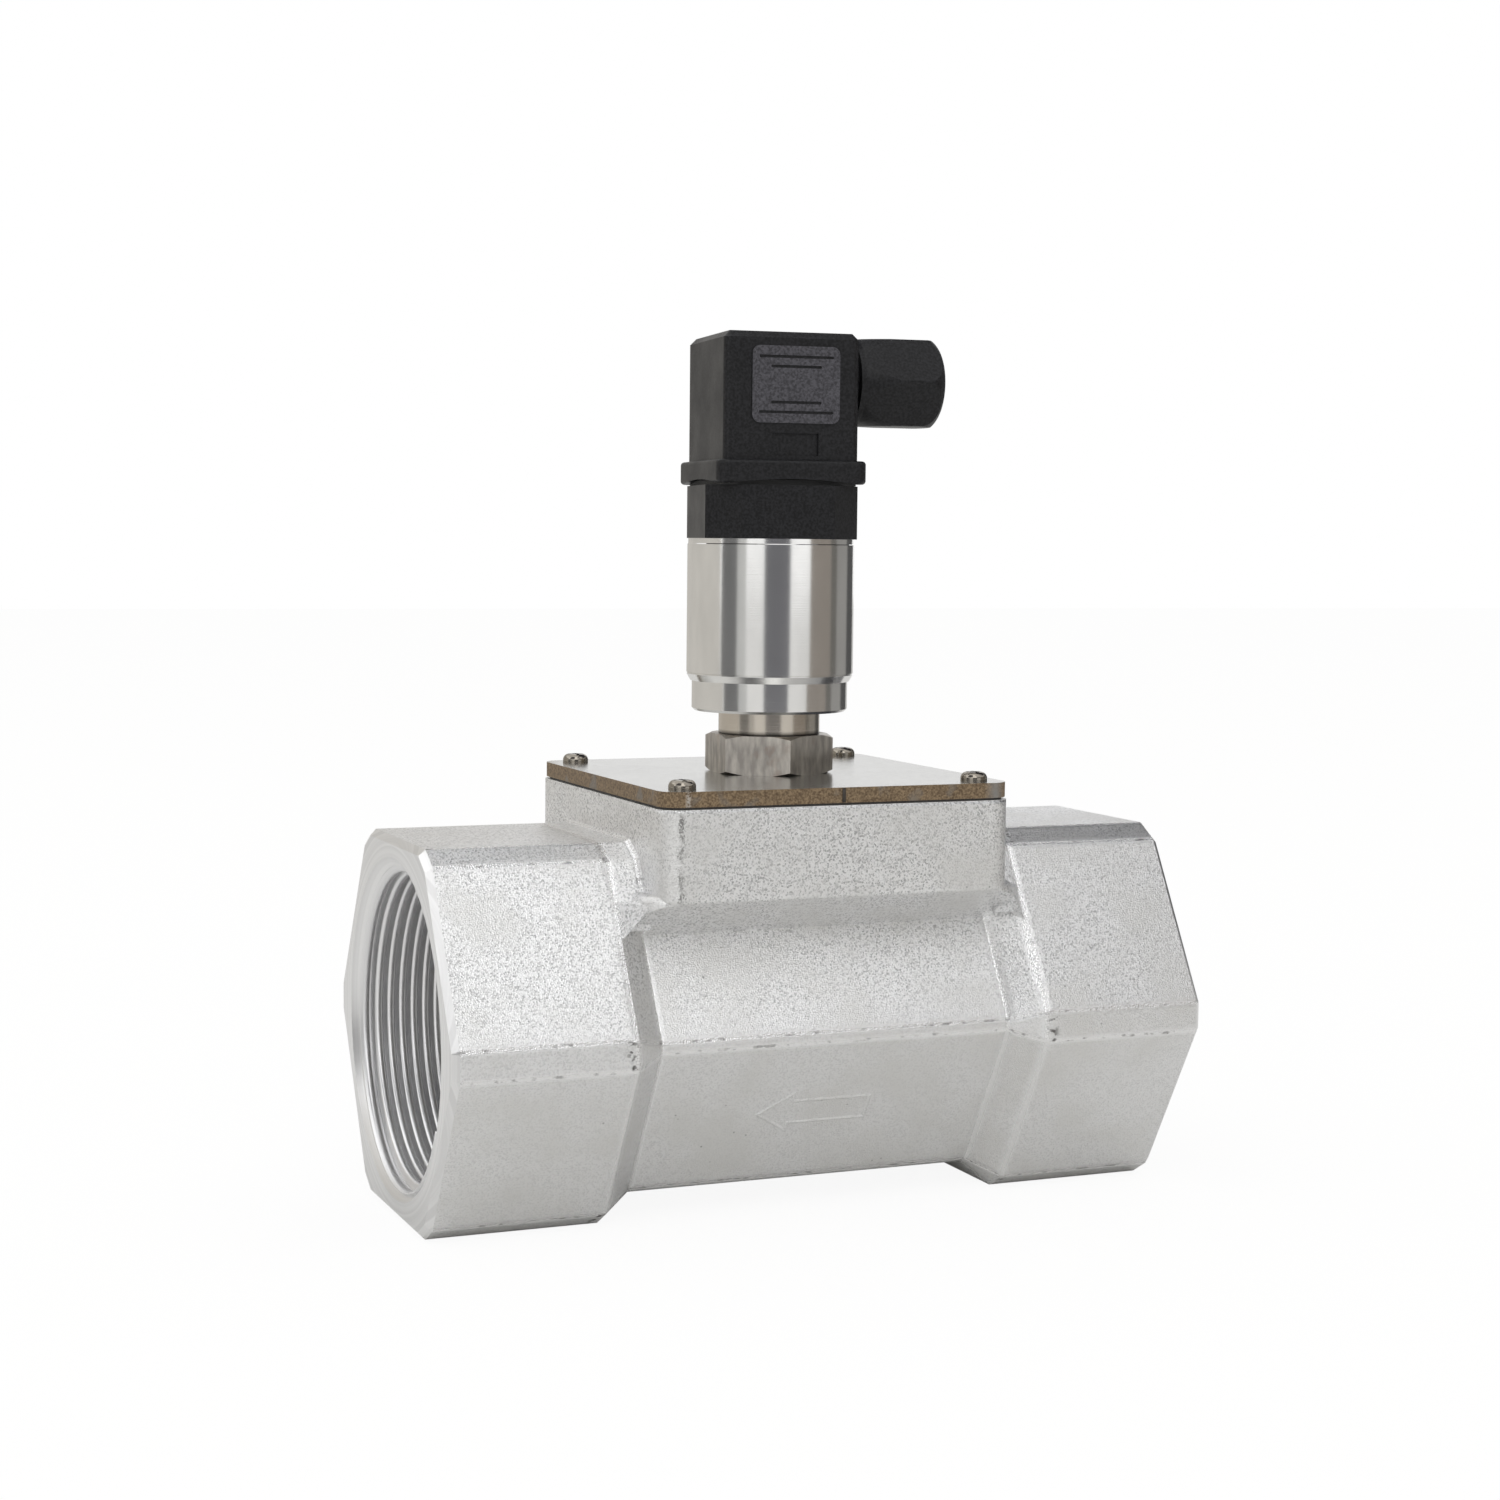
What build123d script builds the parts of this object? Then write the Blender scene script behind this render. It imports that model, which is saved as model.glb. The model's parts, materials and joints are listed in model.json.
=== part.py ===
# Paddle wheel flow sensor for a two inch pipe.
#
# Frame: millimetres, +Z up. The body rests on z = 0 with its flow passage along X, and the stem of the
# transmitter stands on the Z axis. The plug's panel faces -Y and its cable gland points towards +X.
from build123d import *
import os
from math import cos, pi, radians, sin

os.makedirs("parts", exist_ok=True)

# Clearances
fit_gap = 0.05            # radial gap of a seated or running fit
slip_gap = 0.1            # gap round a screw or a pushed-in piece
loose_gap = 0.3           # gap round a piece that only has to go in

# Cast body
body_length = 148.0
end_flats = 70.0          # across flats of the hexagonal ends
end_corners = 77.7        # across the blunted corners of the ends
middle_flats = 60.0
middle_corners = 68.2
end_length = 33.5
shoulder_length = 6.1     # taper between an end and the middle
profile_round = 1.4       # rounding of the long cast edges
end_bevel = 1.2
pipe_axis_z = end_flats / 2

# Ports and passage
thread_radius = 29.8      # major radius of the two inch pipe thread
mouth_radius = 31.4
thread_depth = 28.0
passage_radius = 26.0

# Boss on top of the body
boss_size = 69.4
boss_corner = 4.0
boss_top_z = 77.3
boss_bottom_z = 60.2
boss_edge_round = 1.2
flare_bottom_z = 53.6
flare_half_width = 23.6
saddle_bottom_z = 64.2    # the end profile runs on to the boss above this height
saddle_arch = 5.8         # radius of the arch between an end and its saddle
saddle_lip_rise = 0.8     # cast fillet where a saddle meets the boss
saddle_lip_width = 0.9
ledge_reach = 2.6         # the sloping underside stands out past the boss's sides
ledge_inset = 1.2         # and stays behind its front and back
ledge_corner = 5.0
ledge_round = 1.6
chamber_x = 44.0
chamber_y = 40.0
chamber_corner = 4.0

# Cover
gasket_thickness = 0.4
gasket_inset = 0.5
plate_size = 69.0
plate_thickness = 2.8
cover_screw_inset = 5.35  # from the plate's edges
cover_screw_length = 11.0
cover_screw_hole_depth = 9.0
screw_radius = 1.25       # thread of the small screws
screw_head_radius = 2.5
screw_head_height = 1.7
screw_head_round = 1.2
recess_width = 0.7
recess_depth = 0.9
recess_span = 1.3         # length of a cross recess, in head radii

# Stem and lock nut
stem_radius = 7.0
stem_wall = 2.5
stem_tip_thickness = 2.0
shoulder_radius = 9.5
shoulder_height = 2.6
nut_flats = 21.6
nut_height = 7.4
nut_turn = 26.0           # of a corner, from +X
nut_bevel = 1.3
neck_radius = 9.7
neck_height = 4.4
collar_radius = 14.9
collar_height = 5.7
collar_bevel = 0.5
ring_height = 1.3
ring_foot_radius = 15.2
seal_section = 1.4        # diameter of the stem's O-ring cord
seal_ring_radius = 8.2
groove_side_gap = 0.15

# Transmitter can
sleeve_radius = 15.95
sleeve_wall = 1.5
sleeve_height = 25.75
sleeve_lip_height = 1.1
sleeve_lip_step = 0.15
spigot_height = 5.0
cup_radius = 12.0
cup_depth = 8.4

# Head: connector base and plug, turned a little about the stem
head_turn = -6.5
base_size = 29.3
base_turn = -10.4         # the block's outline, turned a little further than the plug
base_corner_cut = 5.8
base_height = 9.95
base_spigot_height = 5.0
base_bore_radius = 11.0
deck_thickness = 5.0
base_seal_section = 1.2
insert_radius = 2.4
plug_gap = 0.3            # open line between the base and the plug's flange
flange_size = 29.1
flange_corner = 2.0
flange_height = 4.35
flange_arch_rise = 0.8
flange_arch_width = 24.0
flange_edge_round = 0.7
plug_size = 26.2
plug_height = 23.65
plug_corner = 1.3
plug_bevel = 1.2
plug_wall = 1.8
plug_roof = 2.9
plug_gasket_size = 26.2
plug_gasket_thickness = 1.0
panel_width = 17.0
panel_height = 14.2
panel_corner = 1.5
panel_rise = 0.3
panel_offset = 0.6        # panel centre, sideways from the middle of the face
panel_above_flange = 13.9
panel_groove_width = 0.5
panel_groove_depth = 0.2
long_groove = 14.4
short_groove = 9.8
long_groove_rise = 5.1    # distance of the long grooves from the panel's middle
short_groove_rise = 3.3
window_width = 9.0
window_height = 4.1
window_depth = 0.5
window_above_flange = 2.9

# Contacts
pin_circle = 9.0
pin_width = 6.3
pin_thickness = 0.8
pin_rise = 10.0
pin_tail = 4.0
pin_tip_bevel = 0.25
block_height = 12.5
contact_width = 7.3
contact_depth = 2.6
contact_start = 1.0
tab_thickness = 0.6
terminal_reach = 7.2
terminal_head_radius = 2.2
terminal_head_height = 1.3
terminal_shank_radius = 1.2
terminal_shank_length = 4.0

# Plug screw
plug_screw_radius = 1.45
plug_screw_head_radius = 2.8
plug_screw_head_height = 1.9
plug_screw_seal_thickness = 0.6
plug_screw_sink = 3.0
column_wall = 1.4

# Cable gland, measured along its axis from the middle of the plug
gland_above_flange = 15.35
gland_neck_radius = 6.6
gland_bore_radius = 5.2
gland_neck_end = 26.0
nut_start = 15.2
nut_end = 32.7
gland_nut_flats = 16.5
gland_nut_corner_radius = 9.4
gland_nut_root_length = 1.0
gland_nut_cone_length = 6.3
gland_nut_end_round = 4.0
gland_nut_edge_round = 0.8
gland_mouth_radius = 4.6
gland_mouth_bevel = 0.6
ring_thickness = 1.4
ring_bore_radius = 4.3
cable_radius = 4.0
grommet_start = 15.0

# Rotor
rotor_axis_z = 49.0
wheel_radius = 16.0
hub_radius = 5.0
hub_half_length = 12.1
blade_count = 6
blade_thickness = 1.8
blade_half_width = 10.0
magnet_radius = 1.5
magnet_wall = 1.1
magnet_half_length = 9.0
axle_radius = 1.5
bush_wall = 1.05
bush_length = 5.0
washer_radius = 3.6
washer_thickness = 0.9
stem_tip_gap = 2.0        # from the blade tips to the probe

# Bracket
cheek_inner_y = 13.4
sheet_thickness = 1.5
bend_radius = 1.0
bracket_half_x = 16.0
cheek_foot_radius = 5.0
cheek_shoulder_drop = 4.5 # straight stretch of a cheek below the plate
bracket_screw_x = 12.8
bracket_screw_head_radius = 2.2
bracket_screw_head_height = 1.5
bracket_screw_bite = 2.0
clip_gap = 0.3
clip_thickness = 0.5
clip_radius = 3.2
clip_groove_depth = 0.35
clip_mouth_width = 1.9
axle_overhang = 0.8       # past the clips
axle_bevel = 0.4

# Electronics
board_thickness = 1.6
board_width = 20.0
board_height = 21.0
hall_width = 4.0
hall_thickness = 1.6
hall_height = 3.2
lead_pitch = 1.27
lead_radius = 0.35
output_lead_radius = 0.5
output_lead_bend = 1.6
output_lead_rise = 2.6

# Components on the board: foot above the board's foot, width, depth, height, side of the board
component_sizes = (
    (7.0, 6.0, 1.2, 5.0, -1),
    (15.0, 4.0, 1.6, 4.0, -1),
    (10.0, 8.0, 2.4, 6.0, 1),
)

# Heights that follow from the sizes above
plate_bottom_z = boss_top_z + gasket_thickness
plate_top_z = plate_bottom_z + plate_thickness
nut_top_z = plate_top_z + nut_height
collar_bottom_z = nut_top_z + neck_height
ring_bottom_z = collar_bottom_z + collar_height
sleeve_bottom_z = ring_bottom_z + ring_height
sleeve_top_z = sleeve_bottom_z + sleeve_height
deck_z = sleeve_top_z + base_height
flange_bottom_z = deck_z + plug_gap
gasket_top_z = deck_z + plug_gasket_thickness
flange_top_z = flange_bottom_z + flange_height
plug_top_z = flange_top_z + plug_height
cavity_top_z = plug_top_z - plug_roof
gland_z = flange_top_z + gland_above_flange
stem_tip_z = rotor_axis_z + wheel_radius + stem_tip_gap
cup_floor_z = sleeve_bottom_z + spigot_height - cup_depth
board_top_z = cup_floor_z + board_height
block_top_z = gasket_top_z + block_height
cheek_outer_y = cheek_inner_y + sheet_thickness
body_half = body_length / 2
end_start = body_half - end_length
middle_half = end_start - shoulder_length
sleeve_inner = sleeve_radius - sleeve_wall
cavity_size = plug_size - 2 * plug_wall
block_size = cavity_size - 2 * loose_gap
cover_screw_spacing = plate_size - 2 * cover_screw_inset

head_x = Vector(cos(radians(head_turn)), sin(radians(head_turn)), 0)
head_y = Vector(-sin(radians(head_turn)), cos(radians(head_turn)), 0)
pipe_axis = Axis((0, 0, pipe_axis_z), (1, 0, 0))
rotor_axis = Axis((0, 0, rotor_axis_z), (0, 1, 0))
gland_axis = Axis((0, 0, gland_z), head_x)


def pipe_plane(x):
    # Cross section of the pipe, seen along X
    return Plane(origin=(x, 0, pipe_axis_z), x_dir=(0, 1, 0), z_dir=(1, 0, 0))


def head_plane(z):
    # Level plane in the turned frame of the connector head
    return Plane(origin=(0, 0, z), x_dir=head_x, z_dir=(0, 0, 1))


def axle_section(y, direction=1):
    # Cross section of the rotor's axle, facing along +Y or -Y
    return Plane(origin=(0, y, rotor_axis_z), x_dir=(1, 0, 0), z_dir=(0, direction, 0))


def gland_section(distance):
    # Cross section of the gland at a distance from the middle of the plug
    return Plane(origin=head_x * distance + Vector(0, 0, gland_z), x_dir=head_y, z_dir=head_x)


def front_plane(z):
    # The plug's front face, with local y up
    return Plane(origin=head_y * (-plug_size / 2) + Vector(0, 0, z), x_dir=head_x, z_dir=-head_y)


gland_profile_plane = Plane(origin=(0, 0, gland_z), x_dir=head_x, z_dir=-head_y)
axle_profile_plane = Plane(origin=(0, 0, rotor_axis_z), x_dir=(0, 1, 0), z_dir=(1, 0, 0))


def blunted_hexagon(across_flats, across_corners):
    # Hexagon with level top and bottom flats, its corners cut square to the radius
    RegularPolygon(across_flats / 2, 6, major_radius=False)
    RegularPolygon(across_corners / 2, 6, major_radius=False, rotation=30, mode=Mode.INTERSECT)


def save(piece, name):
    piece.part.label = name
    export_step(piece.part, f"parts/{name}.step")


# Saddles: the profile of the ends runs on to the boss, arched below and with a fillet at the boss
boss_half = boss_size / 2
arch_x = end_start - saddle_arch
saddle_foot_x = boss_half - loose_gap
saddle_foot_z = saddle_bottom_z - saddle_arch
with BuildPart() as saddles:
    for side in (-1, 1):
        with BuildSketch(pipe_plane(side * saddle_foot_x)) as saddle_profile:
            blunted_hexagon(end_flats, end_corners)
            fillet(saddle_profile.vertices(), profile_round)
        extrude(amount=side * (end_start - saddle_foot_x))
        with BuildSketch(pipe_plane(side * saddle_foot_x)) as lip_profile:
            blunted_hexagon(end_flats + 2 * saddle_lip_rise, end_corners + 2 * saddle_lip_rise)
            fillet(lip_profile.vertices(), profile_round)
        with BuildSketch(pipe_plane(side * (boss_half + saddle_lip_width))) as lip_edge:
            blunted_hexagon(end_flats, end_corners)
            fillet(lip_edge.vertices(), profile_round)
        loft()
    with BuildSketch(Plane.XZ):
        with Locations((0, saddle_foot_z)):
            Rectangle(body_length, end_flats, align=(Align.CENTER, Align.MIN))
            Rectangle(2 * arch_x, saddle_arch, align=(Align.CENTER, Align.MIN), mode=Mode.SUBTRACT)
        with Locations((-arch_x, saddle_foot_z), (arch_x, saddle_foot_z)):
            Circle(saddle_arch, mode=Mode.SUBTRACT)
    extrude(amount=end_corners, both=True, mode=Mode.INTERSECT)

# Ledge under the boss: its undersides slope in towards the pipe
ledge_x = 2 * (boss_half + ledge_reach)
ledge_y = 2 * (boss_half - ledge_inset)
with BuildPart() as ledge:
    with BuildSketch(Plane.YZ.offset(-ledge_x / 2)):
        with BuildLine():
            Polyline(
                (-ledge_y / 2, boss_bottom_z + ledge_round),
                (-ledge_y / 2, boss_bottom_z),
                (-flare_half_width, flare_bottom_z),
                (flare_half_width, flare_bottom_z),
                (ledge_y / 2, boss_bottom_z),
                (ledge_y / 2, boss_bottom_z + ledge_round),
                close=True,
            )
        make_face()
    extrude(amount=ledge_x)
    with BuildSketch(Plane.XY.offset(flare_bottom_z)):
        RectangleRounded(ledge_x, ledge_y, ledge_corner)
    extrude(amount=boss_bottom_z + ledge_round - flare_bottom_z, mode=Mode.INTERSECT)
    fillet(ledge.edges().group_by(Axis.Z)[-1], radius=ledge_round - fit_gap)

# Boss for the cover, rounded in plan at the corners and along its lower edge
with BuildPart() as boss:
    with BuildSketch(Plane.XY.offset(boss_bottom_z)):
        RectangleRounded(boss_size, boss_size, boss_corner)
    extrude(amount=boss_top_z - boss_bottom_z)
    fillet(boss.edges().group_by(Axis.Z)[0], radius=boss_edge_round)

# Flow body: one casting with two hexagonal ends, a thinner middle and the boss
with BuildPart() as flow_body:
    with BuildSketch(pipe_plane(-middle_half)) as middle_profile:
        blunted_hexagon(middle_flats, middle_corners)
        fillet(middle_profile.vertices(), profile_round)
    extrude(amount=2 * middle_half)
    for side in (-1, 1):
        with BuildSketch(pipe_plane(side * end_start)) as end_profile:
            blunted_hexagon(end_flats, end_corners)
            fillet(end_profile.vertices(), profile_round)
        extrude(amount=side * end_length)
        with BuildSketch(pipe_plane(side * end_start)) as wide_profile:
            blunted_hexagon(end_flats, end_corners)
            fillet(wide_profile.vertices(), profile_round)
        with BuildSketch(pipe_plane(side * middle_half)) as narrow_profile:
            blunted_hexagon(middle_flats, middle_corners)
            fillet(narrow_profile.vertices(), profile_round)
        loft()
    end_faces = flow_body.faces().filter_by(Axis.X).sort_by(Axis.X)
    chamfer([*end_faces[0].edges(), *end_faces[-1].edges()], length=end_bevel)

    add(saddles.part)
    add(ledge.part)
    add(boss.part)

    # Ports and passage, turned about the pipe's axis
    with BuildSketch(Plane.XZ):
        mouth_depth = mouth_radius - thread_radius
        step_x = body_half - thread_depth
        passage_x = step_x - (thread_radius - passage_radius)
        with BuildLine():
            Polyline(
                (-body_half, pipe_axis_z),
                (-body_half, pipe_axis_z + mouth_radius),
                (-body_half + mouth_depth, pipe_axis_z + thread_radius),
                (-step_x, pipe_axis_z + thread_radius),
                (-passage_x, pipe_axis_z + passage_radius),
                (passage_x, pipe_axis_z + passage_radius),
                (step_x, pipe_axis_z + thread_radius),
                (body_half - mouth_depth, pipe_axis_z + thread_radius),
                (body_half, pipe_axis_z + mouth_radius),
                (body_half, pipe_axis_z),
                close=True,
            )
        make_face()
    revolve(axis=pipe_axis, mode=Mode.SUBTRACT)

    # Rotor chamber and the tapped holes of the cover
    with BuildSketch(Plane.XY.offset(boss_top_z)):
        RectangleRounded(chamber_x, chamber_y, chamber_corner)
    extrude(amount=pipe_axis_z - boss_top_z, mode=Mode.SUBTRACT)
    with BuildSketch(Plane.XY.offset(boss_top_z)):
        with GridLocations(cover_screw_spacing, cover_screw_spacing, 2, 2):
            Circle(screw_radius)
    extrude(amount=-cover_screw_hole_depth, mode=Mode.SUBTRACT)
save(flow_body, "flow_body")

# Gasket under the cover
with BuildPart() as body_gasket:
    with BuildSketch(Plane.XY.offset(boss_top_z)):
        RectangleRounded(plate_size - 2 * gasket_inset, plate_size - 2 * gasket_inset, boss_corner)
        RectangleRounded(chamber_x, chamber_y, chamber_corner, mode=Mode.SUBTRACT)
        with GridLocations(cover_screw_spacing, cover_screw_spacing, 2, 2):
            Circle(screw_radius + loose_gap, mode=Mode.SUBTRACT)
    extrude(amount=gasket_thickness)
save(body_gasket, "body_gasket")

# Cover plate
with BuildPart() as cover_plate:
    with BuildSketch(Plane.XY.offset(plate_bottom_z)):
        RectangleRounded(plate_size, plate_size, boss_corner)
        Circle(stem_radius + slip_gap, mode=Mode.SUBTRACT)
        with GridLocations(cover_screw_spacing, cover_screw_spacing, 2, 2):
            Circle(screw_radius + slip_gap, mode=Mode.SUBTRACT)
    extrude(amount=plate_thickness)
    with BuildSketch(Plane.XY.offset(plate_bottom_z)):
        with GridLocations(2 * bracket_screw_x, 0, 2, 1):
            Circle(screw_radius)
    extrude(amount=bracket_screw_bite + slip_gap, mode=Mode.SUBTRACT)
save(cover_plate, "cover_plate")

# Cover screws: domed pan heads with a cross recess
with BuildPart() as cover_screw:
    with BuildSketch():
        Circle(screw_head_radius)
    extrude(amount=screw_head_height)
    fillet(cover_screw.edges().group_by(Axis.Z)[-1], radius=screw_head_round)
    with BuildSketch():
        Circle(screw_radius - slip_gap)
    extrude(amount=-cover_screw_length)
    with BuildSketch(Plane.XY.offset(screw_head_height)):
        Rectangle(recess_span * screw_head_radius, recess_width)
        Rectangle(recess_width, recess_span * screw_head_radius)
    extrude(amount=-recess_depth, mode=Mode.SUBTRACT)

with BuildPart() as cover_screws:
    with Locations(Plane.XY.offset(plate_top_z)):
        with GridLocations(cover_screw_spacing, cover_screw_spacing, 2, 2):
            add(cover_screw.part)
save(cover_screws, "cover_screws")

# Lock nut, bevelled at both ends
with BuildPart() as lock_nut:
    with BuildSketch(Plane.XY.offset(plate_top_z)):
        RegularPolygon(nut_flats / 2, 6, major_radius=False, rotation=nut_turn)
    extrude(amount=nut_height)
    nut_corner_radius = nut_flats / 2 / cos(pi / 6)
    with BuildSketch(Plane.XZ):
        with BuildLine():
            Polyline(
                (stem_radius + fit_gap, plate_top_z),
                (nut_corner_radius - nut_bevel, plate_top_z),
                (nut_corner_radius, plate_top_z + nut_bevel / 2),
                (nut_corner_radius, nut_top_z - nut_bevel / 2),
                (nut_corner_radius - nut_bevel, nut_top_z),
                (stem_radius + fit_gap, nut_top_z),
                close=True,
            )
        make_face()
    revolve(axis=Axis.Z, mode=Mode.INTERSECT)
save(lock_nut, "lock_nut")

# Probe stem: closed tip, shoulder below the plate, neck, collar and the seat of the can
shoulder_top_z = plate_bottom_z
seal_groove_half = seal_section / 2 + groove_side_gap
with BuildPart() as probe_stem:
    with BuildSketch(Plane.XZ):
        spigot_radius = sleeve_inner - fit_gap
        spigot_top_z = sleeve_bottom_z + spigot_height
        bore_radius = stem_radius - stem_wall
        with BuildLine():
            Polyline(
                (0, stem_tip_z),
                (stem_radius, stem_tip_z),
                (stem_radius, shoulder_top_z - shoulder_height),
                (shoulder_radius, shoulder_top_z - shoulder_height),
                (shoulder_radius, shoulder_top_z),
                (stem_radius, shoulder_top_z),
                (stem_radius, nut_top_z),
                (neck_radius, nut_top_z),
                (neck_radius, collar_bottom_z),
                (collar_radius - collar_bevel, collar_bottom_z),
                (collar_radius, collar_bottom_z + collar_bevel),
                (collar_radius, ring_bottom_z),
                (ring_foot_radius, ring_bottom_z),
                (sleeve_radius, sleeve_bottom_z),
                (spigot_radius, sleeve_bottom_z),
                (spigot_radius, spigot_top_z),
                (cup_radius, spigot_top_z),
                (cup_radius, cup_floor_z),
                (bore_radius, cup_floor_z),
                (bore_radius, stem_tip_z + stem_tip_thickness),
                (0, stem_tip_z + stem_tip_thickness),
                close=True,
            )
        make_face()
        with Locations((seal_ring_radius, shoulder_top_z - seal_section / 2)):
            Rectangle(2 * seal_groove_half, seal_section + 2 * fit_gap, mode=Mode.SUBTRACT)
    revolve(axis=Axis.Z)
save(probe_stem, "probe_stem")

with BuildPart() as stem_o_ring:
    with BuildSketch(Plane.XZ):
        with Locations((seal_ring_radius, shoulder_top_z - seal_section / 2)):
            Circle(seal_section / 2)
    revolve(axis=Axis.Z)
save(stem_o_ring, "stem_o_ring")

# Transmitter can
with BuildPart() as transmitter_sleeve:
    with BuildSketch(Plane.XZ):
        lip_z = sleeve_top_z - sleeve_lip_height
        with BuildLine():
            Polyline(
                (sleeve_inner, sleeve_bottom_z),
                (sleeve_radius - sleeve_lip_step, sleeve_bottom_z),
                (sleeve_radius - sleeve_lip_step, sleeve_bottom_z + sleeve_lip_step),
                (sleeve_radius, sleeve_bottom_z + 2 * sleeve_lip_step),
                (sleeve_radius, lip_z),
                (sleeve_radius - sleeve_lip_step, lip_z + sleeve_lip_step),
                (sleeve_radius - sleeve_lip_step, sleeve_top_z),
                (sleeve_inner, sleeve_top_z),
                close=True,
            )
        make_face()
    revolve(axis=Axis.Z)
save(transmitter_sleeve, "transmitter_sleeve")

# Connector base: square block with cut corners on a round spigot
base_spigot_radius = sleeve_inner - fit_gap
base_seal_z = sleeve_top_z - base_spigot_height / 2
base_seal_radius = sleeve_inner - fit_gap - base_seal_section / 2
with BuildPart() as connector_base:
    with BuildSketch(Plane.XY.offset(sleeve_top_z)) as base_outline:
        Rectangle(base_size, base_size, rotation=base_turn)
        chamfer(base_outline.vertices(), base_corner_cut)
    extrude(amount=base_height)
    with BuildSketch(head_plane(sleeve_top_z)):
        Circle(base_spigot_radius)
    extrude(amount=-base_spigot_height)
    with BuildSketch(head_plane(deck_z - deck_thickness)):
        Circle(base_bore_radius)
    extrude(amount=-(base_height + base_spigot_height), mode=Mode.SUBTRACT)
    with BuildSketch(head_plane(deck_z)):
        Circle(insert_radius + fit_gap)
        with PolarLocations(pin_circle, 4):
            Rectangle(pin_thickness, pin_width)
    extrude(amount=-deck_thickness, mode=Mode.SUBTRACT)
    with BuildSketch(Plane.XZ):
        with Locations((base_seal_radius, base_seal_z)):
            Rectangle(base_seal_section + 2 * slip_gap, base_seal_section + 2 * slip_gap)
    revolve(axis=Axis.Z, mode=Mode.SUBTRACT)
save(connector_base, "connector_base")

with BuildPart() as base_o_ring:
    with BuildSketch(Plane.XZ):
        with Locations((base_seal_radius, base_seal_z)):
            Circle(base_seal_section / 2)
    revolve(axis=Axis.Z)
save(base_o_ring, "base_o_ring")

with BuildPart() as screw_insert:
    with BuildSketch(head_plane(deck_z)):
        Circle(insert_radius)
        Circle(plug_screw_radius + fit_gap, mode=Mode.SUBTRACT)
    extrude(amount=-deck_thickness)
save(screw_insert, "screw_insert")

# Contact pins: four flat blades through the deck
with BuildPart() as contact_pins:
    with BuildSketch(head_plane(deck_z - deck_thickness - pin_tail)):
        with PolarLocations(pin_circle, 4):
            Rectangle(pin_thickness, pin_width)
    extrude(amount=pin_tail + deck_thickness + pin_rise)
    pin_tips = contact_pins.faces().group_by(Axis.Z)[-1]
    chamfer(pin_tips.edges().filter_by(lambda edge: edge.length < pin_width / 2), length=pin_tip_bevel)
save(contact_pins, "contact_pins")

# Gasket of the plug
with BuildPart() as plug_gasket:
    with BuildSketch(head_plane(deck_z)):
        RectangleRounded(plug_gasket_size, plug_gasket_size, flange_corner)
        Circle(plug_screw_radius + slip_gap, mode=Mode.SUBTRACT)
        with PolarLocations(pin_circle, 4):
            Rectangle(pin_thickness + 2 * loose_gap, pin_width + 2 * loose_gap, mode=Mode.SUBTRACT)
    extrude(amount=plug_gasket_thickness)
save(plug_gasket, "plug_gasket")

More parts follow.
